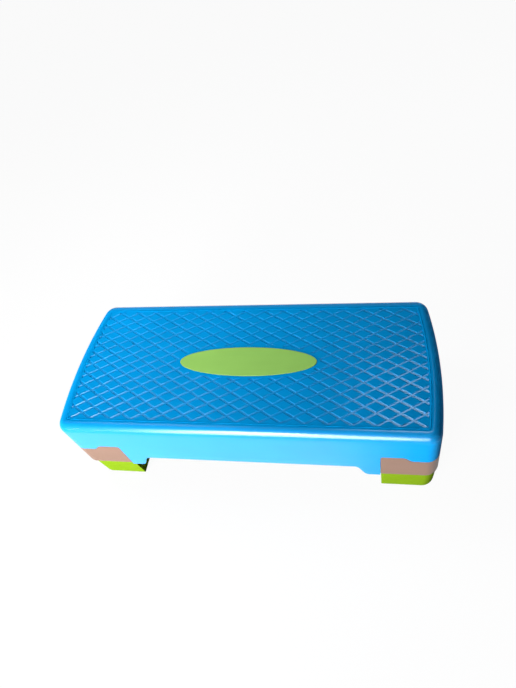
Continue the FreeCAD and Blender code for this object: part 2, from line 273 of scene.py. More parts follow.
@dataclass(frozen=True)
class MouldedPlastic:
    """Injection-moulded plastic: spark-eroded grain, colour drift, rubbed edges, polished places."""

    name: str
    colour: Colour
    roughness: float = 0.36
    specular: float = 0.5
    refraction: float = 1.49
    polish: float = 0.0
    polish_roughness: float = 0.25
    drift: float = 0.035
    drift_size: float = 110.0 * MM
    drift_rough: float = 0.05
    flow_size: float = 30.0 * MM
    grain_size: float = 0.9 * MM
    grain_depth: float = 0.008 * MM
    grain_rough: float = 0.10
    rub: float = 0.08
    rub_size: float = 4.0 * MM
    rub_rough: float = 0.20
    rub_colour: Colour = (0.70, 0.80, 0.90)

    def make(self) -> bpy.types.Material:
        """Build the material.

        The colour drifts with a broad noise and one drawn out along the step. Where the mesh
        marks an edge, a scratched noise rubs it pale. The grain bends the normal, and the coat
        follows the gloss that the mesh carries.

        Returns:
            The material.
        """
        tree = ShaderTree(self.name)
        broad = tree.noise(self.drift_size, detail=3.0)
        flow = tree.noise(self.flow_size, stretch=(0.25, 1.0, 1.0))
        fine = tree.noise(self.grain_size, roughness=0.6)
        scratch = tree.noise(self.rub_size, detail=4.0, roughness=0.7, stretch=(0.2, 1.0, 1.0))
        tone = (0.6 * broad + 0.4 * flow).ramp(0.34, 0.66)
        plain = tree.blend(tone, rgba(self.colour, 1.0 - self.drift), rgba(self.colour, 1.0 + self.drift))
        worn = tree.attribute("edge") * scratch.ramp(0.46, 0.68) * self.rub
        rough = self.roughness + self.drift_rough * (broad - NOISE_MIDDLE)
        rough = rough + self.grain_rough * (fine - NOISE_MIDDLE) + self.rub_rough * worn
        surface = tree.node("ShaderNodeBsdfPrincipled", {}, {
            "Base Color": tree.blend(worn, plain, rgba(self.rub_colour)),
            "Roughness": rough,
            "Normal": tree.bump(fine, self.grain_depth),
            "IOR": self.refraction,
            "Specular IOR Level": self.specular,
            "Coat Weight": tree.attribute("gloss") * self.polish,
            "Coat Roughness": self.polish_roughness,
        })
        return tree.finish(surface)


@dataclass(frozen=True)
class Rubber:
    """Matt moulded rubber with a pebbled surface and a pale bloom."""

    name: str
    colour: Colour
    roughness: float = 0.82
    refraction: float = 1.5
    bloom: float = 2.2
    bloom_size: float = 12.0 * MM
    pebble_size: float = 1.3 * MM
    pebble_depth: float = 0.05 * MM
    pebble_rough: float = 0.12

    def make(self) -> bpy.types.Material:
        """Build the material: bloom in patches of a broad noise, pebbles from a fine one.

        Returns:
            The material.
        """
        tree = ShaderTree(self.name)
        patch = tree.noise(self.bloom_size, detail=3.0, roughness=0.6)
        pebble = tree.noise(self.pebble_size)
        pale = rgba(self.colour, self.bloom)
        surface = tree.node("ShaderNodeBsdfPrincipled", {}, {
            "Base Color": tree.blend(patch.ramp(0.4, 0.75), rgba(self.colour), pale),
            "Roughness": self.roughness + self.pebble_rough * (pebble - NOISE_MIDDLE),
            "Normal": tree.bump(pebble, self.pebble_depth),
            "IOR": self.refraction,
        })
        return tree.finish(surface)


@dataclass(frozen=True)
class ZincSteel:
    """Zinc-plated steel with fine turning marks and dull patches."""

    name: str
    colour: Colour
    roughness: float = 0.32
    dull: float = 0.8
    patch_size: float = 4.0 * MM
    patch_rough: float = 0.25
    turning_size: float = 0.35 * MM
    turning_depth: float = 0.01 * MM

    def make(self) -> bpy.types.Material:
        """Build the material: dull patches of a broad noise, marks from one drawn out round the axis.

        Returns:
            The material.
        """
        tree = ShaderTree(self.name)
        patch = tree.noise(self.patch_size, detail=3.0, roughness=0.6)
        turning = tree.noise(self.turning_size, detail=1.0, stretch=(1.0, 0.15, 0.15))
        dull = rgba(self.colour, self.dull)
        surface = tree.node("ShaderNodeBsdfPrincipled", {}, {
            "Base Color": tree.blend(patch.ramp(0.35, 0.7), dull, rgba(self.colour)),
            "Metallic": 1.0,
            "Roughness": self.roughness + self.patch_rough * (patch - NOISE_MIDDLE),
            "Normal": tree.bump(turning, self.turning_depth),
        })
        return tree.finish(surface)


class Finish(Enum):
    """The step's finishes, named for the record's slots."""

    DECK = ("deck_blue", MouldedPlastic(
        "deck_plastic", (0.001, 0.275, 0.655), roughness=0.50, specular=0.0, polish=1.0))
    TREAD = ("tread_blue", MouldedPlastic(
        "tread_plastic", (0.001, 0.270, 0.640), roughness=0.50, specular=0.0, polish=0.5))
    BADGE = ("badge_green", MouldedPlastic(
        "badge_plastic", (0.295, 0.560, 0.120), roughness=0.45, specular=0.0))
    FOOT = ("foot_grey", MouldedPlastic(
        "foot_plastic", (0.208, 0.122, 0.087), roughness=0.42, specular=0.2))
    LEG = ("leg_green", MouldedPlastic(
        "leg_plastic", (0.168, 0.280, 0.011), roughness=0.40, specular=0.0))
    PAD = ("rubber", Rubber("pad_rubber", (0.018, 0.018, 0.019)))
    STEEL = ("steel", ZincSteel("pin_steel", (0.66, 0.66, 0.64)))

    @property
    def slot(self) -> str:
        """Material slot of the record."""
        return self.value[0]

    def material(self) -> bpy.types.Material:
        """The finish's material, made at its first use."""
        recipe = self.value[1]
        return bpy.data.materials.get(recipe.name) or recipe.make()


@dataclass(frozen=True)
class Track:
    """Points along an outline seen from above, with the outward direction at each."""

    points: Array
    normals: Array

    def carry(self, inset: Array, height: Array) -> Array:
        """Carry a section along the outline.

        Each point is the outline's point, moved inwards along its normal by the section's
        inset, at the section's height.

        Args:
            inset: Distance inwards, rows by columns or one column.
            height: Height, rows by columns or one column.

        Returns:
            Rows by columns by three coordinates.
        """
        rows = max(inset.shape[0], height.shape[0])
        shape = (rows, len(self.points))
        draw = np.broadcast_to(inset, shape)[..., None]
        flat = self.points[None] - draw * self.normals[None]
        return np.concatenate([flat, np.broadcast_to(height, shape)[..., None]], axis=2)

    def joined(self, other: "Track") -> "Track":
        """This track followed by another."""
        points = np.concatenate([self.points, other.points])
        return Track(points, np.concatenate([self.normals, other.normals]))

    def turned(self) -> "Track":
        """This track turned half round the middle of the step."""
        return Track(-self.points, -self.normals)


@dataclass(frozen=True)
class PlanOutline:
    """Outline with straight long sides, arc ends and rounded corners."""

    half_length: float
    half_depth: float
    end_radius: float
    corner_radius: float

    def inset(self, draw: float, corner: Optional[float] = None) -> "PlanOutline":
        """Parallel outline further in.

        Args:
            draw: Distance inwards.
            corner: Corner radius, where it isn't the parallel one.

        Returns:
            The smaller outline.
        """
        radius = self.corner_radius - draw if corner is None else corner
        return PlanOutline(self.half_length - draw, self.half_depth - draw, self.end_radius - draw, radius)

    @property
    def end_centre(self) -> float:
        """Centre of the right end's arc, on X."""
        return self.half_length - self.end_radius

    def corner(self) -> tuple[float, float, float]:
        """Right back corner, where an arc inside the end's arc touches it and the long side.

        Returns:
            X and Y of the corner's centre, and the angle where the end's arc begins.
        """
        corner_y = self.half_depth - self.corner_radius
        reach = self.end_radius - self.corner_radius
        corner_x = self.end_centre + math.sqrt(reach ** 2 - corner_y ** 2)
        return corner_x, corner_y, math.atan2(corner_y, corner_x - self.end_centre)

    def right_end(self, corner_steps: int = 12, end_steps: int = 26) -> Track:
        """Track round the right end, from the front side to the back side.

        Corner arcs run from square to the side up to the angle where the end's arc takes over.

        Args:
            corner_steps: Spans of a corner.
            end_steps: Spans of the end.

        Returns:
            The track.
        """
        corner_x, corner_y, turn = self.corner()
        front = np.linspace(-math.pi / 2, -turn, corner_steps + 1)
        tip = np.linspace(-turn, turn, end_steps + 1)[1:-1]
        angles = np.concatenate([front, tip, -front[::-1]])
        on_end = np.zeros(len(angles), bool)
        on_end[len(front):-len(front)] = True
        radius = np.where(on_end, self.end_radius, self.corner_radius)
        centre_x = np.where(on_end, self.end_centre, corner_x)
        centre_y = np.where(on_end, 0.0, np.sign(angles) * corner_y)
        normals = np.stack([np.cos(angles), np.sin(angles)], axis=1)
        points = np.stack([centre_x, centre_y], axis=1) + radius[:, None] * normals
        return Track(points, normals)

    def front_side(self, xs: Array) -> Track:
        """Track along the front, at given X."""
        points = np.stack([xs, np.full(len(xs), -self.half_depth)], axis=1)
        return Track(points, np.tile([0.0, -1.0], (len(xs), 1)))

    def around(self, side_steps: int = 40) -> Track:
        """Closed track round the whole outline: a side and an end, then both turned half round.

        Args:
            side_steps: Spans of a long side.

        Returns:
            The track.
        """
        reach = self.corner()[0]
        side = self.front_side(np.linspace(-reach, reach, side_steps + 1)[1:-1])
        half = side.joined(self.right_end())
        return half.joined(half.turned())

    def reach_at(self, ys: Array) -> Array:
        """Half length of the outline at given Y, with the corners left square."""
        return self.end_centre + np.sqrt(self.end_radius ** 2 - ys ** 2)


def full_turn(steps: int) -> Array:
    """Even angles round a full turn, in radians."""
    return np.linspace(0.0, 2 * math.pi, steps, endpoint=False)


def quarter_turn(steps: int) -> Array:
    """Even angles over a quarter turn, both ends included, in radians."""
    return np.radians(np.linspace(0.0, 90.0, steps + 1))


def spaced(pitch: float, each_side: int) -> Array:
    """Even places about the middle, with as many on each side of it."""
    return pitch * np.arange(-each_side, each_side + 1)


def span_corners(grid: Array) -> list[Array]:
    """Views of a grid at the four corners of its spans, in turn round each span."""
    return [grid[:-1, :-1], grid[:-1, 1:], grid[1:, 1:], grid[1:, :-1]]


def stacked(parts: Sequence[tuple[Any, ...]], columns: int) -> list[Array]:
    """Stack the parts of a section, from its first row to its last.

    Args:
        parts: For each part the same values in turn, each a number, a column, a row or a grid.
        columns: Number of columns.

    Returns:
        One array for each value, rows by columns.
    """
    row = np.zeros((1, columns))
    spread = [np.broadcast_arrays(*part, row)[:-1] for part in parts]
    return [np.concatenate(values) for values in zip(*spread)]


def oval_track(half_length: float, half_width: float, steps: int = 160) -> Track:
    """Closed track round an oval: half lengths times the cosine and sine of an even angle.

    Args:
        half_length: Half length along X.
        half_width: Half width along Y.
        steps: Spans round the oval.

    Returns:
        The track.
    """
    angle = full_turn(steps)
    points = np.stack([half_length * np.cos(angle), half_width * np.sin(angle)], axis=1)
    normals = np.stack([half_width * np.cos(angle), half_length * np.sin(angle)], axis=1)
    return Track(points, normals / np.linalg.norm(normals, axis=1, keepdims=True))


def bend(centre: tuple[float, float], radius: float, start: float, stop: float, steps: int) -> Array:
    """Arc of a section: centre plus radius times the cosine and sine of an even angle.

    Args:
        centre: Inset and height of the centre.
        radius: Radius of the arc.
        start: First angle in degrees; 0 points inwards, 90 up.
        stop: Last angle in degrees.
        steps: Spans of the arc.

    Returns:
        Points by two: inset and height.
    """
    angle = np.radians(np.linspace(start, stop, steps + 1))
    return np.stack([centre[0] + radius * np.cos(angle), centre[1] + radius * np.sin(angle)], axis=1)


def sweep_curve(x0: float, z0: float, x1: float, z1: float, steps: int) -> tuple[Array, Array]:
    """S curve, level at both ends: a cubic whose middle poles lie half way along.

    Args:
        x0: First X.
        z0: First height.
        x1: Last X.
        z1: Last height.
        steps: Spans of the curve.

    Returns:
        X and height along the curve.
    """
    t = np.linspace(0.0, 1.0, steps + 1)
    along = (1 - t) ** 3 * x0 + 3 * t * (1 - t) * (x0 + x1) / 2 + t ** 3 * x1
    return along, z0 + (z1 - z0) * t * t * (3 - 2 * t)


class Skin:
    """One mesh gathered from grids of points and flat caps."""

    def __init__(self) -> None:
        """Start with nothing."""
        self._points: list[Array] = []
        self._faces: list[Array] = []
        self._marks: dict[str, list[tuple[int, Array]]] = {}
        self._count = 0

    def add_points(self, points: Array, **marks: Array) -> Array:
        """Add points.

        Args:
            points: Any array whose last axis holds three coordinates.
            marks: Values to store on the points, by attribute name.

        Returns:
            The points' numbers, in the shape of the array.
        """
        flat = points.reshape(-1, 3)
        numbers = np.arange(self._count, self._count + len(flat)).reshape(points.shape[:-1])
        for name, values in marks.items():
            spread = np.broadcast_to(values, points.shape[:-1]).ravel()
            self._marks.setdefault(name, []).append((self._count, spread))
        self._points.append(flat)
        self._count += len(flat)
        return numbers

    def add_faces(self, faces: Array) -> None:
        """Add faces, one in each row of point numbers."""
        self._faces.append(np.asarray(faces))

    def grid(self, points: Array, wrap_columns: bool = False, wrap_rows: bool = False,
             **marks: Array) -> Array:
        """Add a grid of quads.

        Args:
            points: Rows by columns by three coordinates.
            wrap_columns: Join the last column to the first.
            wrap_rows: Join the last row to the first.
            marks: Values to store on the points.

        Returns:
            The points' numbers, rows by columns.
        """
        numbers = self.add_points(points, **marks)
        used = numbers
        if wrap_rows:
            used = np.concatenate([used, used[:1]], axis=0)
        if wrap_columns:
            used = np.concatenate([used, used[:, :1]], axis=1)
        self.add_faces(np.stack(span_corners(used), axis=2).reshape(-1, 4))
        return numbers

    def cap(self, *rings: Array) -> None:
        """Close each ring of points with one flat face."""
        for ring in rings:
            self.add_faces(ring.reshape(1, -1))

    def drop_rim(self, level: float) -> None:
        """Carry the rim of an open sheet of quads straight down.

        The rim is made of the edges that one quad alone uses, and a new quad hangs from each.

        Args:
            level: Height at which the new quads end.
        """
        points, quads = np.concatenate(self._points), np.concatenate(self._faces)
        edges = np.stack([quads, np.roll(quads, -1, axis=1)], axis=2).reshape(-1, 2)
        pairs = np.sort(edges, axis=1)
        first, uses = np.unique(pairs, axis=0, return_index=True, return_counts=True)[1:]
        rim = edges[first[uses == 1]]
        high, place = np.unique(rim, return_inverse=True)
        low = self.add_points(points[high] * [1.0, 1.0, 0.0] + [0.0, 0.0, level])
        self.add_faces(np.concatenate([rim[:, ::-1], low[place.reshape(rim.shape)]], axis=1))

    @staticmethod
    def close(mesh: bpy.types.Mesh) -> None:
        """Fill a rim that is still open with a flat face, and turn all faces outwards.

        Args:
            mesh: The mesh.
        """
        work = bmesh.new()
        work.from_mesh(mesh)
        bmesh.ops.edgeloop_fill(work, edges=[edge for edge in work.edges if edge.is_boundary])
        bmesh.ops.recalc_face_normals(work, faces=work.faces[:])
        work.to_mesh(mesh)
        work.free()

    def mesh(self, name: str, closed: bool = True, mirror: bool = False,
             sharp: float = 34.0) -> bpy.types.Object:
        """Make the object.

        Args:
            name: Name of the piece.
            closed: Whether the piece is a closed one, whose faces are turned outwards.
            mirror: Whether X changes sign.
            sharp: Angle in degrees past which an edge stays crisp.

        Returns:
            The object, linked to the scene.
        """
        points = np.concatenate(self._points) * [-1.0 if mirror else 1.0, 1.0, 1.0]
        corners = np.concatenate([faces.ravel() for faces in self._faces])
        sizes = np.concatenate([np.full(len(faces), faces.shape[1]) for faces in self._faces])
        starts = np.concatenate([[0], np.cumsum(sizes)[:-1]])
        mesh = bpy.data.meshes.new(name)
        mesh.vertices.add(len(points))
        mesh.vertices.foreach_set("co", points.astype(np.float32).ravel())
        mesh.loops.add(len(corners))
        mesh.loops.foreach_set("vertex_index", corners.astype(np.int32))
        mesh.polygons.add(len(sizes))
        mesh.polygons.foreach_set("loop_start", starts.astype(np.int32))
        mesh.update(calc_edges=True)
        for mark, spans in self._marks.items():
            values = np.zeros(len(points), np.float32)
            for start, given in spans:
                values[start:start + len(given)] = given
            mesh.attributes.new(mark, "FLOAT", "POINT").data.foreach_set("value", values)
        mesh.validate()
        if closed:
            self.close(mesh)
        mesh.polygons.foreach_set("use_smooth", np.ones(len(mesh.polygons), bool))
        mesh.set_sharp_from_angle(angle=math.radians(sharp))
        piece = bpy.data.objects.new(name, mesh)
        bpy.context.scene.collection.objects.link(piece)
        return piece

    def tube(self, section: Array, x: float, across: float, axis: Axis, steps: int = 32) -> None:
        """Turn a closed section about a straight axis.

        Each point is the axis's point plus the section's radius times the cosine and sine of an
        even angle, at the section's place along the axis.

        Args:
            section: Points by two: radius and place along the axis.
            x: X of the axis.
            across: Y of an upright axis, or height of an axis along Y.
            axis: Direction of the axis.
            steps: Spans round the tube.
        """
        angle = full_turn(steps)
        first = x + section[:, :1] * np.cos(angle)
        second = across + section[:, :1] * np.sin(angle)
        along = np.broadcast_to(section[:, 1:], first.shape)
        self.grid(axis.stack(first, second, along), wrap_columns=True, wrap_rows=True)

    def bar(self, start: tuple[float, float], stop: tuple[float, float], low: float, high: float,
            thickness: float, round_low: bool = True, set_back: float = 0.0, bulge: float = 0.6) -> None:
        """Add a straight rib with one rounded edge.

        The section is a rectangle whose lower or upper edge is half an oval, carried from one
        end to the other and capped. Its foot, opposite the rounded edge, may stop short.

        Args:
            start: X and Y of one end.
            stop: X and Y of the other end.
            low: Lowest height.
            high: Highest height.
            thickness: Width of the rib.
            round_low: Whether the lower edge is the rounded one.
            set_back: How far the rib's foot stops short of both ends.
            bulge: Height of the half oval, as a share of half the thickness.
        """
        half = thickness / 2
        rise = half * bulge
        angle = np.linspace(0.0, math.pi, 7)
        edge = rise * np.sin(angle)
        base, free = (high, low + rise) if round_low else (low, high - rise)
        heights = np.concatenate([[base], free - edge if round_low else free + edge, [base]])
        sides = np.concatenate([[half], half * np.cos(angle), [-half]])
        ends = np.array([start, stop])
        along = (ends[1] - ends[0]) / np.linalg.norm(ends[1] - ends[0])
        across = np.array([-along[1], along[0]])
        short = np.zeros(len(sides))
        short[[0, -1]] = set_back
        flat = ends[None] + sides[:, None, None] * across
        flat = flat + short[:, None, None] * np.array([along, -along])[None]
        upright = np.broadcast_to(heights[:, None, None], flat.shape[:2] + (1,))
        numbers = self.grid(np.concatenate([flat, upright], axis=2), wrap_rows=True)
        self.cap(numbers[:, 0], numbers[:, 1])

    def plate(self, outline: Array, holes: Sequence[Array], low: float, high: float, axis: Axis,
              tolerance: float = 1e-9) -> None:
        """Add a flat plate with holes.

        Both faces are triangles between the outline and the holes, less those with all three
        corners on one hole, and every rim is a strip of quads from one face to the other.

        Args:
            outline: Points by two round the plate.
            holes: Points by two round each hole.
            low: First place along the thickness.
            high: Last place along the thickness.
            axis: Direction of the thickness.
            tolerance: Distance at which two points count as one.
        """
        rings = [outline, *holes]
        flat = np.concatenate(rings)
        sizes = [len(ring) for ring in rings]
        firsts = np.concatenate([[0], np.cumsum(sizes)[:-1]])
        edges = np.concatenate([first + np.stack([np.arange(size), np.roll(np.arange(size), -1)], axis=1)
                                for first, size in zip(firsts, sizes)])
        corners = [Vector(point) for point in flat.tolist()]
        filled = delaunay_2d_cdt(corners, edges.tolist(), [], TRIANGLES_INSIDE, tolerance)
        triangles = np.array(filled[2])
        ring = np.repeat(np.arange(len(rings)), sizes)[triangles]
        triangles = triangles[(ring[:, 0] == 0) | (ring != ring[:, :1]).any(axis=1)]
        bottom, top = (self.add_points(axis.stack(flat[:, 0], flat[:, 1], np.full(len(flat), place)))
                       for place in (low, high))
        self.add_faces(bottom[triangles])
        self.add_faces(top[triangles[:, ::-1]])
        self.add_faces(np.concatenate([bottom[edges], top[edges[:, ::-1]]], axis=1))


def circle(x: float, y: float, radius: float, steps: int = 32) -> Array:
    """Even points round a circle."""
    angle = full_turn(steps)
    return np.stack([x + radius * np.cos(angle), y + radius * np.sin(angle)], axis=1)


def settle(piece: bpy.types.Object, body: Body, finish: Finish, *nodes: str) -> None:
    """Give a piece its finish, its body and the nodes it stands for.

    Args:
        piece: The finished mesh object.
        body: Body that it rides on.
        finish: Finish of its surface.
        nodes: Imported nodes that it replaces.
    """
    piece.data.materials.clear()
    piece.data.materials.append(finish.material())
    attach(piece, body.value)
    finish.slot
    if nodes:
        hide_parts(*nodes)
    LOG.info("%s: %d faces on %s", piece.name, len(piece.data.polygons), body.value)


@dataclass(frozen=True)
class StepSizes:
    """Sizes that several pieces share, in metres.

    let_in is how far ribs and bosses run into what carries them, and worn is how far past an
    edge its wear fades out.
    """

    length: float = 680.0 * MM
    depth: float = 284.0 * MM
    height: float = 204.0 * MM
    end_bulge: float = 13.0 * MM
    corner_radius: float = 26.0 * MM
    draft: float = math.tan(math.radians(1.5))
    wall: float = 3.0 * MM
    rib: float = 2.4 * MM
    pivot_z: float = 82.0 * MM
    foot_z: float = 70.0 * MM
    tab_z: float = 64.0 * MM
    skirt_z: float = 95.0 * MM
    cutout_high: float = 137.0 * MM
    cutout_low: float = 125.0 * MM
    cutout_corner: float = 5.0 * MM
    cutout_bend: float = 267.0 * MM
    cutout_sweep: float = 20.0 * MM
    foot_x: float = 232.0 * MM
    tab_x: float = 213.0 * MM
    tab_sweep: float = 25.0 * MM
    panel_margin: float = 21.5 * MM
    panel_thickness: float = 3.0 * MM
    screw_joint: float = 150.0 * MM
    screw_hole: float = 2.1 * MM
    tower_radius: float = 7.0 * MM
    tower_spots: tuple[tuple[float, float], ...] = ((256.0 * MM, 100.0 * MM), (304.0 * MM, 54.0 * MM))
    hinge_boss: float = 8.0 * MM
    leg_inset: float = 1.6 * MM
    let_in: float = 0.5 * MM
    worn: float = 1.2 * MM

    @property
    def plan(self) -> PlanOutline:
        """Outline of the skirt at the tabs' lower edge, its end arcs as deep as the bulge.

        Returns:
            The outline.
        """
        half_depth = self.depth / 2
        end_radius = (half_depth ** 2 + self.end_bulge ** 2) / (2 * self.end_bulge)
        return PlanOutline(self.length / 2, half_depth, end_radius, self.corner_radius)

    @property
    def recess_z(self) -> float:
        """Height of the recess floor that the tread and the badge lie on."""
        return self.height - self.panel_thickness

    @property
    def pivot_x(self) -> float:
        """X of the right leg's hinge."""
        return (self.tab_x + self.foot_x) / 2

    @property
    def hinge_face(self) -> float:
        """Y of the inner face of a back hinge boss."""
        return self.depth / 2 - self.wall - self.drawn(self.pivot_z) - self.hinge_boss

    @property
    def leg_middle(self) -> float:
        """X of the middle of the right leg."""
        return (self.foot_x + self.leg_inset + self.length / 2 - self.end_bulge) / 2

    def drawn(self, z: Any) -> Any:
        """How far the drafted skirt has drawn in at a height."""
        return (z - self.tab_z) * self.draft

    def cutout_edge(self, gap: float) -> tuple[Array, Array]:
        """Wavy upper edge of the end cut-out on a long side, lowered by a gap.

        A quarter circle from the step, a level run, an S down and a level run to the corner.

        Args:
            gap: Distance below the deck's own edge, and outwards from its step.

        Returns:
            X and height from the step outwards to the corner.
        """
        high, low = self.cutout_high - gap, self.cutout_low - gap
        centre = (self.foot_x + self.cutout_corner, self.cutout_high - self.cutout_corner)
        turn = bend(centre, self.cutout_corner - gap, 180.0, 90.0, 7)
        bend_x, bend_z = sweep_curve(self.cutout_bend, high, self.cutout_bend + self.cutout_sweep, low, 12)
        level = np.linspace(turn[-1, 0], self.cutout_bend, 4)[1:-1]
        rest = np.linspace(bend_x[-1], self.plan.corner()[0], 4)[1:-1]
        xs = np.concatenate([turn[:, 0], level, bend_x, rest])
        return xs, np.concatenate([turn[:, 1], np.full(len(level), high), bend_z, np.full(len(rest), low)])


@dataclass
class Deck:
    """Moulded deck: the drafted skirt with its rounded top, and the ribs and bosses under it.

    end_gloss is the polish that the ends keep, and gloss_rise is how steeply it comes back over
    the top rounding. The skirt loses the share dull of it past dull_from, over dull_run.
    """

    sizes: StepSizes
    top_radius: float = 15.0 * MM
    lip_radius: float = 0.9 * MM
    rim_radius: float = 0.6 * MM
    plate: float = 4.0 * MM
    plate_run: float = 6.0 * MM
    step_run: float = 0.12 * MM
    end_gloss: float = 0.12
    gloss_rise: float = 2.5
    dull: float = 0.9
    dull_from: float = 120.0 * MM
    dull_run: float = 190.0 * MM
    rib_pitch: float = 66.0 * MM
    rib_height: float = 27.0 * MM
    rib_set_back: float = 4.0 * MM
    long_ribs: int = 1
    cross_ribs: int = 4
    boss_chamfer: float = 0.4 * MM
    hinge_radius: float = 7.5 * MM
    hinge_chamfer: float = 0.5 * MM
    hinge_root: float = 1.0 * MM
    pin_radius: float = 3.0 * MM
    pieces: list[bpy.types.Object] = field(default_factory=list)

    @property
    def tilt(self) -> float:
        """Lean of the drafted skirt, in degrees."""
        return math.degrees(math.atan(self.sizes.draft))

    @property
    def under(self) -> float:
        """Height of the underside of the top plate."""
        return self.sizes.recess_z - self.plate

    def lower_edge(self) -> tuple[Array, Array]:
        """Lower edge of the skirt along the front.

        Level in the middle, an S down to the hinge tab, a square step up to the end cut-out,
        and the cut-out's own wave out to the corner, the same on both halves.

        Returns:
            X and height from the left corner to the right corner, corners left out.
        """
        s = self.sizes
        top = s.tab_x - s.tab_sweep
        sweep_x, sweep_z = sweep_curve(top, s.skirt_z, s.tab_x, s.tab_z, 16)
        tab_x = np.linspace(s.tab_x, s.foot_x - self.step_run, 4)[1:]
        wave_x, wave_z = s.cutout_edge(0.0)
        middle_x = np.linspace(0.0, top, 9)[1:-1]
        xs = np.concatenate([middle_x, sweep_x, tab_x, wave_x])
        middle_z, tab_z = np.full(len(middle_x), s.skirt_z), np.full(len(tab_x), s.tab_z)
        zs = np.concatenate([middle_z, sweep_z, tab_z, wave_z])
        return np.concatenate([-xs[::-1], [0.0], xs]), np.concatenate([zs[::-1], [s.skirt_z], zs])

    def rounding(self, radius: float, level: float, extra: float) -> tuple[float, float]:
        """Centre of a rounding that touches a level face and the drafted wall.

        Args:
            radius: Radius of the rounding.
            level: Height of the level face.
            extra: Distance of the wall's face inwards from the outer one.

        Returns:
            Inset and height of the centre.
        """
        lean = math.radians(self.tilt)
        centre_z = level - radius
        touch_z = centre_z + radius * math.sin(lean)
        return self.sizes.drawn(touch_z) + extra + radius * math.cos(lean), centre_z

    def section(self, low: Array, polish: Array) -> list[Array]:
        """Section of the shell over each point of the outline.

        From the underside of the top plate: the inner rounding, the inner wall, the rounded
        lower lip, the drafted outer wall, the top rounding, the level margin, and the rounded
        rim of the recess for the tread. Over the top rounding the gloss rises from the skirt's
        to the full one.

        Args:
            low: Height of the lower edge at each column.
            polish: Gloss of the skirt at each column.

        Returns:
            Inset, height, edge wear and gloss, rows by columns.
        """
        s = self.sizes
        r, inner_radius = self.lip_radius, self.top_radius - s.wall
        inner_centre = self.rounding(inner_radius, self.under, s.wall)
        outer_centre = self.rounding(self.top_radius, s.height, 0.0)
        rim_centre = (s.panel_margin - self.rim_radius, s.height - self.rim_radius)
        inner = bend(inner_centre, inner_radius, 90.0, 180.0 - self.tilt, 8)
        outer = bend(outer_centre, self.top_radius, 180.0 - self.tilt, 90.0, 16)
        rim = bend(rim_centre, self.rim_radius, 90.0, 0.0, 5)
        wall_in = low + r + np.linspace(1.0, 0.0, 8)[1:, None] * (inner[-1, 1] - low - r)
        wall_out = low + r + np.linspace(0.0, 1.0, 9)[:-1, None] * (outer[0, 1] - low - r)
        quarter = quarter_turn(4)[:, None]
        before, after = quarter[1:], quarter[1:] - quarter[1]
        lip_in = s.drawn(low) + s.wall - r + r * np.cos(before)
        lip_out = s.drawn(low) + r - r * np.sin(after)
        margin = np.array([[outer[-1, 0] + self.rim_radius], [s.panel_margin - 2 * self.rim_radius]])
        full = np.clip(np.linspace(0.0, self.gloss_rise, len(outer)), 0.0, 1.0)[:, None]
        return stacked([
            (inner_centre[0] + self.plate_run, self.under, 0.0, 0.0),
            (inner[:, :1], inner[:, 1:], 0.0, 0.0),
            (s.drawn(wall_in) + s.wall, wall_in, 0.0, 0.0),
            (lip_in, low + r - r * np.sin(before), 1.0, 0.0),
            (lip_out, low + r - r * np.cos(after), 1.0, polish),
            (s.drawn(wall_out), wall_out, 0.0, polish),
            (outer[:, :1], outer[:, 1:], 0.0, polish + (1.0 - polish) * full),
            (margin, s.height, 0.0, 0.0),
            (rim[:, :1], rim[:, 1:], 0.0, 0.0),
            (s.panel_margin, s.recess_z, 0.0, 0.0),
        ], len(low))

    def build_shell(self) -> bpy.types.Object:
        """Carry the section round the outline and close the top plate on both sides.

        The polish is full on the long sides and fades to the ends' fine grain with the square
        of the outward direction's Y. The skirt loses it towards the right end in a smooth step.

        Returns:
            The piece.
        """
        xs, zs = self.lower_edge()
        end = self.sizes.plan.right_end()
        half = self.sizes.plan.front_side(xs).joined(end)
        low = np.concatenate([zs, np.full(len(end.points), self.sizes.cutout_low)])
        track = half.joined(half.turned())
        share = np.clip((track.points[:, 0] - self.dull_from) / self.dull_run, 0.0, 1.0)
        polish = 1.0 - self.dull * share ** 2 * (3.0 - 2.0 * share)
        inset, height, edge, gloss = self.section(np.concatenate([low, low]), polish)
        gloss = gloss * (self.end_gloss + (1.0 - self.end_gloss) * track.normals[:, 1] ** 2)
        skin = Skin()
        numbers = skin.grid(track.carry(inset, height), wrap_columns=True, edge=edge, gloss=gloss)
        skin.cap(numbers[0], numbers[-1])
        return skin.mesh("deck_shell")

    def build_ribs(self) -> bpy.types.Object:
        """Straight ribs both ways under the top plate, their ends let into the skirt.

        Returns:
            The piece.
        """
        s = self.sizes
        low, high = self.under - self.rib_height, self.under + s.let_in
        plan = s.plan.inset(s.drawn(low) + s.wall / 2, s.corner_radius / 2)
        skin = Skin()
        for y in spaced(self.rib_pitch, self.long_ribs):
            reach = float(plan.reach_at(y))
            skin.bar((-reach, y), (reach, y), low, high, s.rib, set_back=self.rib_set_back)
        for x in spaced(self.rib_pitch, self.cross_ribs):
            front, back = (x, -plan.half_depth), (x, plan.half_depth)
            skin.bar(front, back, low, high, s.rib, set_back=self.rib_set_back)
        return skin.mesh("deck_ribs")

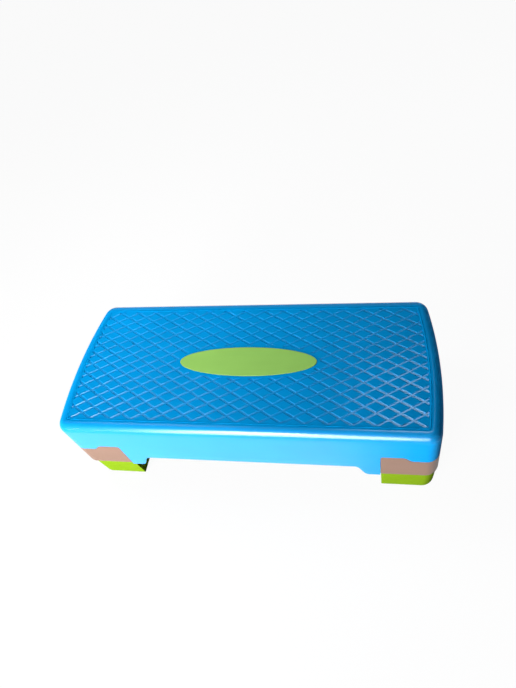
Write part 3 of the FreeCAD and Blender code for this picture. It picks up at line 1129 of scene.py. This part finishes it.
    def build_bosses(self) -> bpy.types.Object:
        """Screw bosses under the top plate and hinge bosses inside the tabs.

        Each is a tube with a chamfered edge, turned about its screw or pin.

        Returns:
            The piece.
        """
        s = self.sizes
        top, cut = self.under + s.let_in, self.boss_chamfer
        screw = np.array([
            (s.tower_radius, top),
            (s.tower_radius, s.screw_joint + cut),
            (s.tower_radius - cut, s.screw_joint),
            (s.screw_hole, s.screw_joint),
            (s.screw_hole, top),
        ])
        face, cut = s.hinge_face, self.hinge_chamfer
        root = face + s.hinge_boss + self.hinge_root
        hinge = np.array([
            (self.pin_radius, face),
            (self.hinge_radius - cut, face),
            (self.hinge_radius, face + cut),
            (self.hinge_radius, root),
            (self.pin_radius, root),
        ])
        skin = Skin()
        for side in BOTH_SIDES:
            for x, y in s.tower_spots:
                for front in BOTH_SIDES:
                    skin.tube(screw, side * x, front * y, Axis.Z)
            for front in BOTH_SIDES:
                skin.tube(hinge * [1.0, front], side * s.pivot_x, s.pivot_z, Axis.Y)
        return skin.mesh("deck_bosses")

    def build(self) -> None:
        """Make the meshes."""
        self.pieces = [self.build_shell(), self.build_ribs(), self.build_bosses()]

    def dress(self) -> None:
        """Give the pieces their finish."""
        for piece in self.pieces:
            settle(piece, Body.PLATFORM, Finish.DECK, "deck")


@dataclass
class Tread:
    """Tread panel: a field of raised diamonds inside a beaded border, round the badge's rim.

    line_places are lines of the grid over half the pitch of the grooves. shine_depth, where the
    gloss is full, and rub_depth, where the wear is, are shares of a groove's depth.
    """

    sizes: StepSizes
    gap: float = 0.12 * MM
    corner_radius: float = 4.9 * MM
    border: float = 4.0 * MM
    bead: float = 0.4 * MM
    bead_width: float = 2.0 * MM
    diamond_length: float = 37.8 * MM
    diamond_width: float = 22.0 * MM
    diamond_shift: float = -7.0 * MM
    groove_width: float = 5.0 * MM
    groove_floor: float = 2.6 * MM
    groove_depth: float = 1.2 * MM
    line_places: tuple[float, ...] = (
        0.0, 0.054, 0.064, 0.075, 0.1, 0.125, 0.136, 0.147, 0.21, 0.34, 0.46)
    soften: float = 0.05 * MM
    sink: float = 0.015 * MM
    shine_depth: float = 0.2
    rub_depth: float = 0.12
    crisp: float = 60.0
    edge_radius: float = 0.35 * MM
    inner_drop: float = 0.4 * MM
    floor_gap: float = 0.1 * MM
    hole: tuple[float, float] = (127.5 * MM, 30.5 * MM)
    rim: float = 5.0 * MM
    tuck: float = 2.0 * MM
    pieces: list[bpy.types.Object] = field(default_factory=list)

    @property
    def plan(self) -> PlanOutline:
        """Outline of the panel."""
        return self.sizes.plan.inset(self.sizes.panel_margin + self.gap, self.corner_radius)

    @property
    def low(self) -> float:
        """Height of the panel's underside, just clear of the recess floor."""
        return self.sizes.recess_z + self.floor_gap

    def strip(self, width: float, bead: float) -> Array:
        """Section of a strip with its first edge rounded, closed underneath.

        Beside the rounding a low bead rises as the square of a sine, and the rest is flat.

        Args:
            width: Width of the strip.
            bead: Height of the bead.

        Returns:
            Points by two: inset and height.
        """
        top, r = self.sizes.height, self.edge_radius
        rounded = bend((r, top - r), r, 180.0, 90.0, 5)
        along = np.linspace(0.0, 1.0, 11)[1:]
        rise = bead * np.sin(math.pi * along) ** 2
        raised = np.stack([r + self.bead_width * along, top + rise], axis=1)
        inner = top - self.groove_depth - self.inner_drop
        flat = [[width, top], [width, inner], [width, self.low]]
        return np.concatenate([[[0.0, self.low]], rounded, raised, flat])

    def build_strip(self, name: str, track: Track, width: float, inwards: float,
                    bead: float = 0.0) -> bpy.types.Object:
        """Carry a strip along a closed track.

        Args:
            name: Name of the piece.
            track: The track of its rounded edge.
            width: Width of the strip.
            inwards: 1 where the strip lies inside the track, -1 outside it.
            bead: Height of the bead along the rounded edge.

        Returns:
            The piece.
        """
        section = self.strip(width, bead)
        skin = Skin()
        rows = track.carry(inwards * section[:, :1], section[:, 1:])
        skin.grid(rows, wrap_columns=True, wrap_rows=True)
        return skin.mesh(name)

    def groove(self, distance: Array) -> Array:
        """Depth of a flat-floored groove with softened edges.

        A straight flank is put through two soft ramps, ln(1 + e^x), one at the diamond's edge and
        one at the floor, so that both corners are round.

        Args:
            distance: Distance from the middle of the groove.

        Returns:
            Depth below the diamonds.
        """
        flank = (self.groove_width - self.groove_floor) / 2
        fall = self.groove_depth * (self.groove_width / 2 - distance) / flank / self.soften
        floor = self.groove_depth / self.soften
        return self.soften * (np.logaddexp(0.0, fall) - np.logaddexp(0.0, fall - floor))

    def lines(self, plan: PlanOutline) -> Array:
        """Places of the grid's lines across the grooves, which lie at whole numbers.

        The lines crowd at the corners of the grooves, alike on both sides of each.

        Args:
            plan: Outline that the lines have to cover.

        Returns:
            The places, counted in grooves.
        """
        half_cell = np.array(self.line_places)
        cell = np.concatenate([half_cell, 1.0 - half_cell[:0:-1]])
        count = int(plan.half_length / self.diamond_length + plan.half_depth / self.diamond_width) + 2
        return (np.arange(-count, count)[:, None] + cell).ravel()

    def build_field(self, name: str, half: int) -> bpy.types.Object:
        """Diamonds on one half of the tread.

        The two parameters count the grooves that lean each way, so every groove is a line of
        the grid: X is half a diamond's length times their sum, Y half its width times their
        difference. Height is the deeper of the two grooves. Points past the border or the
        badge's rim slide back under it, and quads that lie wholly past it are left out.

        Args:
            name: Name of the piece.
            half: -1 for the left half, 1 for the right half.

        Returns:
            The piece.
        """
        length, width = self.diamond_length, self.diamond_width
        plan = self.plan.inset(self.tuck, self.corner_radius - self.tuck)
        line = self.lines(plan)
        a, b = np.meshgrid(line, line, indexing="ij")
        x = length * (a + b) / 2
        y = self.diamond_shift + width * (a - b) / 2
        reach = plan.reach_at(np.clip(y, -plan.half_depth, plan.half_depth))
        oval = np.hypot(x / (self.hole[0] + self.tuck), y / (self.hole[1] + self.tuck))
        inside = (np.abs(y) < plan.half_depth) & (np.abs(x) < reach) & (oval > 1.0) & (x * half > 0)
        touched = np.any(span_corners(inside), axis=0)
        spread = length * width / math.hypot(length, width)
        depth = np.maximum(*(self.groove(np.abs(c - np.round(c)) * spread) for c in (a, b)))
        least = 1e-3
        out = 1.0 / np.clip(oval, least, 1.0)
        x = np.clip(x, -reach, reach)
        x = np.where(x * half > 0, x, 0.0) * out
        y = np.clip(y, -plan.half_depth, plan.half_depth) * out
        points = np.stack([x, y, self.sizes.height - self.sink - depth], axis=2)
        share = depth / self.groove_depth
        gloss = np.clip(share / self.shine_depth, 0.0, 1.0)
        edge = np.clip(1.0 - np.abs(share - self.rub_depth) / self.rub_depth, 0.0, 1.0)
        used = np.zeros(a.shape, bool)
        for corner in span_corners(used):
            np.logical_or(corner, touched, out=corner)
        skin = Skin()
        numbers = np.full(a.shape, -1)
        numbers[used] = skin.add_points(points[used], edge=edge[used], gloss=gloss[used])
        quads = np.stack(span_corners(numbers), axis=2)
        skin.add_faces(quads[touched][:, ::-1])
        skin.drop_rim(self.low)
        return skin.mesh(name, sharp=self.crisp)

    def build(self) -> None:
        """Make the meshes."""
        oval = oval_track(*self.hole)
        self.pieces = [
            self.build_strip("tread_border", self.plan.around(), self.border, 1.0, self.bead),
            self.build_strip("tread_badge_rim", oval, self.rim, -1.0),
            self.build_field("tread_diamonds_left", -1),
            self.build_field("tread_diamonds_right", 1),
        ]

    def dress(self) -> None:
        """Give the pieces their finish."""
        for piece in self.pieces:
            settle(piece, Body.PLATFORM, Finish.TREAD, "tread_panel")


@dataclass
class Badge:
    """Plain oval plate in the middle of the tread."""

    sizes: StepSizes
    half_length: float = 127.0 * MM
    half_width: float = 30.0 * MM
    rise: float = 0.8 * MM
    edge_radius: float = 0.6 * MM
    crown: float = 0.05 * MM
    floor_gap: float = 0.05 * MM
    first_ring: float = 0.985
    last_ring: float = 0.06
    pieces: list[bpy.types.Object] = field(default_factory=list)

    def build(self) -> None:
        """Carry a rounded edge round the oval and draw the top in to the middle.

        The top is the oval scaled from the rounded edge to the centre, raised by a crown that
        grows as one less the square of the scale.
        """
        track = oval_track(self.half_length, self.half_width, 200)
        top, r = self.sizes.height + self.rise - self.crown, self.edge_radius
        low = self.sizes.recess_z + self.floor_gap
        section = np.concatenate([[[0.0, low]], bend((r, top - r), r, 180.0, 90.0, 6)])
        wall = track.carry(section[:, :1], section[:, 1:])
        scale = np.append(self.first_ring, np.linspace(1.0, self.last_ring, 10)[1:])[:, None, None]
        face = wall[-1:] * [1.0, 1.0, 0.0] * scale
        face[..., 2] = top + self.crown * (1.0 - scale[..., 0] ** 2)
        edge = np.zeros((len(section) + len(face), 1))
        edge[1:len(section)] = 1.0
        skin = Skin()
        numbers = skin.grid(np.concatenate([wall, face]), wrap_columns=True, edge=edge)
        skin.cap(numbers[0], numbers[-1])
        self.pieces = [skin.mesh("badge_plate")]

    def dress(self) -> None:
        """Give the plate its finish."""
        for piece in self.pieces:
            settle(piece, Body.PLATFORM, Finish.BADGE, "badge")


@dataclass
class EndFoot:
    """End foot: a wavy band in the skirt's cut-out, a floor, and ribs and screw towers on it."""

    sizes: StepSizes
    end: End
    gap: float = 0.4 * MM
    floor: float = 3.0 * MM
    floor_gap: float = 0.04 * MM
    lip_radius: float = 0.6 * MM
    base_radius: float = 1.2 * MM
    rib_height: float = 30.0 * MM
    rib_pitch: float = 54.0 * MM
    ribs: int = 2
    well_radius: float = 4.5 * MM
    well_mouth: float = 0.2 * MM
    tower_foot: float = 1.0 * MM
    seat_depth: float = 8.0 * MM
    pad_hole: tuple[float, float, float] = (258.45 * MM, 81.0 * MM, 4.05 * MM)
    pieces: list[bpy.types.Object] = field(default_factory=list)

    def track(self) -> tuple[Track, Array]:
        """Track of the band, from the front step round the end to the back step.

        Returns:
            The track and the height of the band's upper edge along it.
        """
        plan = self.sizes.plan
        xs, zs = self.sizes.cutout_edge(self.gap)
        front = plan.front_side(xs)
        back = Track(front.points[::-1] * [1.0, -1.0], front.normals[::-1] * [1.0, -1.0])
        end = plan.right_end()
        level = np.full(len(end.points), zs[-1])
        return front.joined(end).joined(back), np.concatenate([zs, level, zs[::-1]])

    def build_band(self) -> bpy.types.Object:
        """Carry the drafted wall round the end, its upper edge on the cut-out's wave.

        The section is a wall of even thickness with small roundings at the top and at the
        outer lower edge; its two ends are flat.

        Returns:
            The piece.
        """
        s = self.sizes
        track, top = self.track()
        r, b = self.lip_radius, self.base_radius
        low = np.full(len(top), s.foot_z)
        quarter = quarter_turn(4)[:, None]
        foot, head = low + b + s.worn, top - r - s.worn
        wall_z = foot + np.linspace(0.0, 1.0, 6)[:, None] * (head - foot)
        base_z = low + b - b * np.cos(quarter)
        out_z = top - r + r * np.sin(quarter)
        in_z = top - r + r * np.cos(quarter)
        inset, height, edge = stacked([
            (s.drawn(base_z) + b - b * np.sin(quarter), base_z, 1.0),
            (s.drawn(wall_z), wall_z, 0.0),
            (s.drawn(out_z) + r - r * np.cos(quarter), out_z, 1.0),
            (s.drawn(in_z) + s.wall - r + r * np.sin(quarter), in_z, 1.0),
            (s.drawn(low) + s.wall, low, 0.0),
        ], len(top))
        skin = Skin()
        numbers = skin.grid(track.carry(inset, height), wrap_rows=True, edge=edge)
        skin.cap(numbers[:, 0], numbers[:, -1])
        return skin.mesh("end_foot_%s_band" % self.end.word, mirror=self.end.mirrored)

    def build_floor(self) -> bpy.types.Object:
        """Flat floor inside the band with the screw wells and pad holes, and what stands on it.

        Each tower is a tube turned about its screw: wide below for the head, narrow above.

        Returns:
            The piece.
        """
        s = self.sizes
        track = self.track()[0]
        outline = track.points - s.wall / 2 * track.normals
        rounds = [(x, y, self.well_radius) for x, y in s.tower_spots] + [self.pad_hole]
        holes = [circle(x, front * y, radius) for x, y, radius in rounds for front in BOTH_SIDES]
        low, high = s.foot_z + self.floor_gap, s.foot_z + self.floor
        skin = Skin()
        skin.plate(outline, holes, low, high, Axis.Z)
        seat = s.screw_joint - self.seat_depth
        tower = np.array([
            (self.well_radius, s.foot_z + self.well_mouth),
            (s.tower_radius, s.foot_z + self.tower_foot),
            (s.tower_radius, s.screw_joint),
            (s.screw_hole, s.screw_joint),
            (s.screw_hole, seat),
            (self.well_radius, seat),
        ])
        for x, y in s.tower_spots:
            for front in BOTH_SIDES:
                skin.tube(tower, x, front * y, Axis.Z)
        base, top = high - s.let_in, high + self.rib_height
        plan = s.plan.inset(s.drawn(top) + s.wall / 2, s.corner_radius / 2)
        inner = s.foot_x + self.gap + s.wall / 2
        for x, thickness in ((inner, s.wall), (s.leg_middle, s.rib)):
            skin.bar((x, -plan.half_depth), (x, plan.half_depth), base, top, thickness, round_low=False)
        for y in spaced(self.rib_pitch, self.ribs):
            skin.bar((inner, y), (float(plan.reach_at(y)), y), base, top, s.rib, round_low=False)
        return skin.mesh("end_foot_%s_floor" % self.end.word, mirror=self.end.mirrored)

    def build(self) -> None:
        """Make the meshes."""
        self.pieces = [self.build_band(), self.build_floor()]

    def dress(self) -> None:
        """Give the pieces their finish."""
        for piece in self.pieces:
            settle(piece, Body.PLATFORM, Finish.FOOT, "end_foot_" + self.end.word)


@dataclass
class FlipLeg:
    """Flip leg: an open-topped box with ribs inside and two hinge ears."""

    sizes: StepSizes
    end: End
    end_inset: float = 1.5 * MM
    side_clearance: float = 0.6 * MM
    rim_gap: float = 0.4 * MM
    wall: float = 3.0 * MM
    bottom: float = 1.5 * MM
    floor: float = 3.5 * MM
    corner_radius: float = 24.0 * MM
    inner_radius: float = 1.2 * MM
    base_radius: float = 2.2 * MM
    rim_radius: float = 0.7 * MM
    rib_drop: float = 10.0 * MM
    rib_pitch: float = 54.0 * MM
    ribs: int = 2
    ear_radius: float = 8.0 * MM
    ear_neck: float = 32.0 * MM
    ear_bore: float = 3.08 * MM
    ear_gap: float = 0.3 * MM
    ear_thickness: float = 6.0 * MM
    pieces: list[bpy.types.Object] = field(default_factory=list)

    @property
    def inner_face(self) -> float:
        """X of the outer side of the right leg's inner wall."""
        return self.sizes.foot_x + self.sizes.leg_inset

    @property
    def rim(self) -> float:
        """Height of the open rim."""
        return self.sizes.foot_z - self.rim_gap

    def ring(self, extra: float, z: float) -> Array:
        """Closed ring round the leg at a height.

        The long way is the step's own end outline, drawn in by the leg's taper; the short way
        is straight, along the inner wall.

        Args:
            extra: Distance inwards from the outer face.
            z: Height.

        Returns:
            Points by three coordinates.
        """
        s = self.sizes
        depth_draw = s.wall + s.drawn(2 * s.pivot_z - z) + self.side_clearance + extra
        end_draw = self.end_inset + (self.rim - z) * s.draft + extra
        plan = PlanOutline(s.plan.half_length - end_draw, s.plan.half_depth - depth_draw,
                           s.plan.end_radius - end_draw, self.corner_radius - extra)
        inner, small = self.inner_face + extra, self.inner_radius
        turn = np.linspace(math.pi, 1.5 * math.pi, 5)
        front_x = inner + small + small * np.cos(turn)
        front_y = -plan.half_depth + small + small * np.sin(turn)
        run_x = np.linspace(front_x[-1], plan.corner()[0], 6)[1:-1]
        run_y = np.full(len(run_x), -plan.half_depth)
        front = np.stack([np.append(front_x, run_x), np.append(front_y, run_y)], axis=1)
        wall_y = np.linspace(plan.half_depth, -plan.half_depth, 7)[1:-1]
        wall = np.stack([np.full(len(wall_y), inner), wall_y], axis=1)
        flat = np.concatenate([front, plan.right_end().points, front[::-1] * [1.0, -1.0], wall])
        return np.concatenate([flat, np.full((len(flat), 1), z)], axis=1)

    def build_box(self) -> bpy.types.Object:
        """Stack rings from the floor up the inner wall, over the rim and down the outer wall.

        Returns:
            The piece.
        """
        floor = self.bottom + self.floor
        r, b = self.rim_radius, self.base_radius
        quarter = quarter_turn(4)
        high, low = self.rim - r - self.sizes.worn, self.bottom + b + self.sizes.worn
        inner = [(self.wall, z) for z in np.linspace(floor, high, 4)]
        rim = list(zip(self.wall - r + r * np.cos(quarter), self.rim - r + r * np.sin(quarter)))
        rim += list(zip(r - r * np.sin(quarter), self.rim - r + r * np.cos(quarter)))
        outer = [(0.0, z) for z in np.linspace(high, low, 6)]
        base = list(zip(b - b * np.cos(quarter), self.bottom + b - b * np.sin(quarter)))
        levels = inner + rim + outer + base
        edge = np.zeros((len(levels), 1))
        edge[len(inner):len(inner) + len(rim)] = 1.0
        edge[-len(base):] = 1.0
        skin = Skin()
        rings = np.stack([self.ring(extra, z) for extra, z in levels])
        numbers = skin.grid(rings, wrap_columns=True, edge=edge)
        skin.cap(numbers[0], numbers[-1])
        return skin.mesh("flip_leg_%s_box" % self.end.word, mirror=self.end.mirrored)

    def build_fittings(self) -> bpy.types.Object:
        """Ribs on the floor and a hinge ear at each depth.

        An ear is a flat plate: half a circle about the pivot, then straight down and back to
        the inner wall, with a round bore.

        Returns:
            The piece.
        """
        s = self.sizes
        skin = Skin()
        low, high = self.bottom + self.floor - s.let_in, self.rim - self.rib_drop
        back = float(self.ring(self.wall / 2, low)[:, 1].max())
        leg_x = self.inner_face
        inner = leg_x + self.wall / 2
        plan = s.plan.inset(self.end_inset + (self.rim - low) * s.draft + self.wall / 2)
        skin.bar((s.leg_middle, -back), (s.leg_middle, back), low, high, s.rib, round_low=False)
        for y in spaced(self.rib_pitch, self.ribs):
            skin.bar((inner, y), (float(plan.reach_at(y)), y), low, high, s.rib, round_low=False)
        turn = np.linspace(math.pi, 0.0, 17)
        top = np.stack([s.pivot_x + self.ear_radius * np.cos(turn),
                        s.pivot_z + self.ear_radius * np.sin(turn)], axis=1)
        rest = np.array([
            (s.pivot_x + self.ear_radius, self.rim),
            (leg_x + self.wall, self.rim),
            (leg_x + self.wall, self.rim - self.ear_neck),
            (leg_x, self.rim - self.ear_neck),
        ])
        outline = np.concatenate([top, rest])
        bore = circle(s.pivot_x, s.pivot_z, self.ear_bore, 24)
        outer = s.hinge_face - self.ear_gap
        for front in BOTH_SIDES:
            skin.plate(outline, [bore], front * (outer - self.ear_thickness), front * outer, Axis.Y)
        return skin.mesh("flip_leg_%s_fittings" % self.end.word, mirror=self.end.mirrored)

    def build(self) -> None:
        """Make the meshes."""
        self.pieces = [self.build_box(), self.build_fittings()]

    def dress(self) -> None:
        """Give the pieces their finish."""
        for piece in self.pieces:
            settle(piece, self.end.leg, Finish.LEG, "flip_leg_" + self.end.word)


@dataclass
class Hardware:
    """Pins, screws and rubber pads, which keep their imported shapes."""

    finishes: tuple[tuple[str, Finish], ...] = (
        ("pivot_pin_", Finish.STEEL),
        ("foot_screws_", Finish.STEEL),
        ("leg_pad_", Finish.PAD),
        ("foot_pad_", Finish.PAD),
    )

    def dress(self) -> None:
        """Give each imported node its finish."""
        for name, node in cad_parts.items():
            for start, finish in self.finishes:
                if name.startswith(start):
                    node.data.materials.clear()
                    node.data.materials.append(finish.material())
                    LOG.info("%s: packed shape, %s", name, finish.slot)


@dataclass(frozen=True)
class Lamp:
    """Rectangular soft lamp: where it stands, the point it faces, its size, its watts and its use."""

    name: str
    place: Point
    aim: Point
    size: tuple[float, float]
    power: float
    use: LampUse

    def build(self) -> None:
        """Add the lamp to the scene, turned to face its aim."""
        data = bpy.data.lights.new(self.name, "AREA")
        data.shape = "RECTANGLE"
        data.size, data.size_y = self.size
        data.energy = self.power
        lamp = bpy.data.objects.new(self.name, data)
        lamp.visible_diffuse, lamp.visible_glossy = self.use.value
        lamp.location = self.place
        lamp.rotation_euler = (Vector(self.aim) - Vector(self.place)).to_track_quat("-Z", "Y").to_euler()
        bpy.context.scene.collection.objects.link(lamp)


@dataclass
class Studio:
    """Pale floor, soft lamps, white surroundings and the camera.

    The lamps are a low key from the front left, soft fills over the left half and from behind,
    and three that only show in reflections. The lens and the middle of the picture are in pixels.
    white_right and white_left, the side borders of the painted pool of light on the floor, are each a slope
    and a place.
    """

    image: tuple[int, int] = (516, 688)
    focal: float = 470.506
    middle: tuple[float, float] = (285.52, 287.544)
    stand: Point = (0.222989, -0.441646, 0.91064)
    pitch: float = 47.876
    yaw: float = -15.388
    roll: float = -12.942
    sensor: float = 36.0
    floor_rings: tuple[float, ...] = (0.02, 1.0, 2.5)
    cove_radius: float = 6.0
    cove_bend: float = 1.5
    cove_height: float = 5.0
    cove_steps: int = 72
    cove_glow: float = 0.95
    cove_far: float = 0.3
    card_grey: float = 0.4
    paper_white: float = 0.9
    white_right: tuple[float, float] = (0.2, 0.62)
    white_left: tuple[float, float] = (0.6, 0.85)
    white_back: float = 3.6
    white_front: float = -0.75
    white_fade: float = 0.6
    world_colour: Colour = (0.6, 0.8, 1.0)
    world_light: float = 0.1
    lamps: tuple[Lamp, ...] = (
        Lamp("key", (-0.8, -1.45, 0.36), (-0.08, 0.0, 0.12), (0.9, 0.6), 65.0, LampUse.FILL),
        Lamp("fill", (-0.5, 0.22, 0.98), (-0.22, 0.08, 0.2), (0.5, 0.5), 7.8, LampUse.FILL),
        Lamp("back_fill", (1.5, 1.0, 0.45), (0.2, 0.0, 0.1), (0.8, 0.8), 4.0, LampUse.FILL),
        Lamp("streak", (-0.12, -1.25, 0.66), (0.05, -0.14, 0.2), (1.1, 0.75), 50.0, LampUse.GLINT),
        Lamp("left_glint", (-0.28, -1.25, 1.12), (-0.2, -0.1, 0.2), (0.45, 0.35), 20.0, LampUse.GLINT),
        Lamp("right_glint", (0.38, 0.5, 1.4), (0.28, -0.09, 0.2), (0.42, 0.4), 6.0, LampUse.GLINT),
    )

    def cove_finish(self) -> bpy.types.Material:
        """Paper of the cove: a grey card to the light, white to the camera and in reflections.

        The glowing white is a painted pool of light: it reaches to four borders on the floor, two of which
        slope with Y, and fades to a grey past them. A little plain paper mixed in keeps the object's
        shadow.

        Returns:
            The material.
        """
        tree = ShaderTree("studio_cove")
        seen = tree.node("ShaderNodeLightPath", out="Is Camera Ray")
        for ray in ("Is Glossy Ray", "Is Transmission Ray"):
            seen = seen.at_least(tree.node("ShaderNodeLightPath", out=ray))
        card = tree.node("ShaderNodeBsdfDiffuse", {}, {"Color": rgba(WHITE, self.card_grey)})
        paper = tree.node("ShaderNodeBsdfDiffuse", {}, {"Color": rgba(WHITE, self.paper_white)})
        across, back = (tree.node("ShaderNodeSeparateXYZ", {}, {0: tree.place()}, out=name)
                        for name in ("X", "Y"))
        right = self.white_right[0] * back + self.white_right[1]
        left = self.white_left[0] * back + self.white_left[1]
        past = (across - right).at_least(-1.0 * across - left)
        past = past.at_least(back - self.white_back).at_least(self.white_front - back)
        # painted pool of light: white glow inside the four borders, fading to grey past them
        white = tree.blend(past.ramp(0.0, self.white_fade), rgba(WHITE), rgba(WHITE, self.cove_far))
        glow = tree.node("ShaderNodeEmission", {}, {"Color": white, "Strength": 1.0})
        shown = tree.node("ShaderNodeMixShader", {}, {0: self.cove_glow, 1: paper, 2: glow})
        return tree.finish(tree.node("ShaderNodeMixShader", {}, {0: seen, 1: card, 2: shown}))

    def build_cove(self) -> None:
        """Floor that turns up into a round backdrop.

        The section runs flat from the middle, round a quarter circle and straight up, and is
        turned about the upright axis.
        """
        quarter, angle = quarter_turn(12), full_turn(self.cove_steps)
        flat = self.cove_radius - self.cove_bend
        turn = flat + self.cove_bend * np.sin(quarter)
        radius = np.concatenate([self.floor_rings, turn, [self.cove_radius]])[:, None]
        rise = self.cove_bend * (1.0 - np.cos(quarter))
        height = np.concatenate([np.zeros(len(self.floor_rings)), rise, [self.cove_height]])[:, None]
        rows = np.broadcast_arrays(radius * np.cos(angle), radius * np.sin(angle), height)
        skin = Skin()
        numbers = skin.grid(np.stack(rows, axis=2), wrap_columns=True)
        skin.cap(numbers[0])
        cove = skin.mesh("studio_cove", closed=False)
        cove.data.materials.append(self.cove_finish())

    def build_world(self) -> None:
        """Even dim cool light from overhead, past the top of the backdrop."""
        world = bpy.data.worlds.new("studio_world")
        world.use_nodes = True
        sky = world.node_tree.nodes["Background"]
        sky.inputs["Color"].default_value = rgba(self.world_colour)
        sky.inputs["Strength"].default_value = self.world_light
        bpy.context.scene.world = world

    def build_camera(self) -> None:
        """Place the camera from its pitch, yaw and roll, with the lens and shift of the picture."""
        pitch, yaw, roll = (math.radians(angle) for angle in (self.pitch, self.yaw, self.roll))
        ahead = Vector((math.cos(pitch) * math.sin(yaw), math.cos(pitch) * math.cos(yaw), -math.sin(pitch)))
        level = Vector((math.cos(yaw), -math.sin(yaw), 0.0))
        right = level * math.cos(roll) + level.cross(ahead) * math.sin(roll)
        up = right.cross(ahead)
        data = bpy.data.cameras.new("camera")
        data.sensor_width = self.sensor
        longest = max(self.image)
        data.lens = self.focal * self.sensor / longest
        data.shift_x = (self.image[0] / 2 - self.middle[0]) / longest
        data.shift_y = (self.middle[1] - self.image[1] / 2) / longest
        camera = bpy.data.objects.new("camera", data)
        columns = Matrix((right, up, -ahead)).transposed().to_4x4()
        camera.matrix_world = Matrix.Translation(self.stand) @ columns
        bpy.context.scene.collection.objects.link(camera)
        bpy.context.scene.camera = camera

    def build(self) -> None:
        """Set up the whole studio."""
        self.build_cove()
        self.build_world()
        for lamp in self.lamps:
            lamp.build()
        self.build_camera()
        bpy.context.scene.view_settings.view_transform = "Standard"


def main() -> None:
    """Build and dress every sub-assembly, then the studio."""
    logging.basicConfig(level=logging.INFO, format="%(name)s %(message)s")
    sizes = StepSizes()
    assemblies = [Deck(sizes), Tread(sizes), Badge(sizes)]
    assemblies += [EndFoot(sizes, end) for end in End]
    assemblies += [FlipLeg(sizes, end) for end in End]
    for assembly in assemblies:
        assembly.build()
        assembly.dress()
    Hardware().dress()
    Studio().build()


if __name__ == "__main__":
    main()
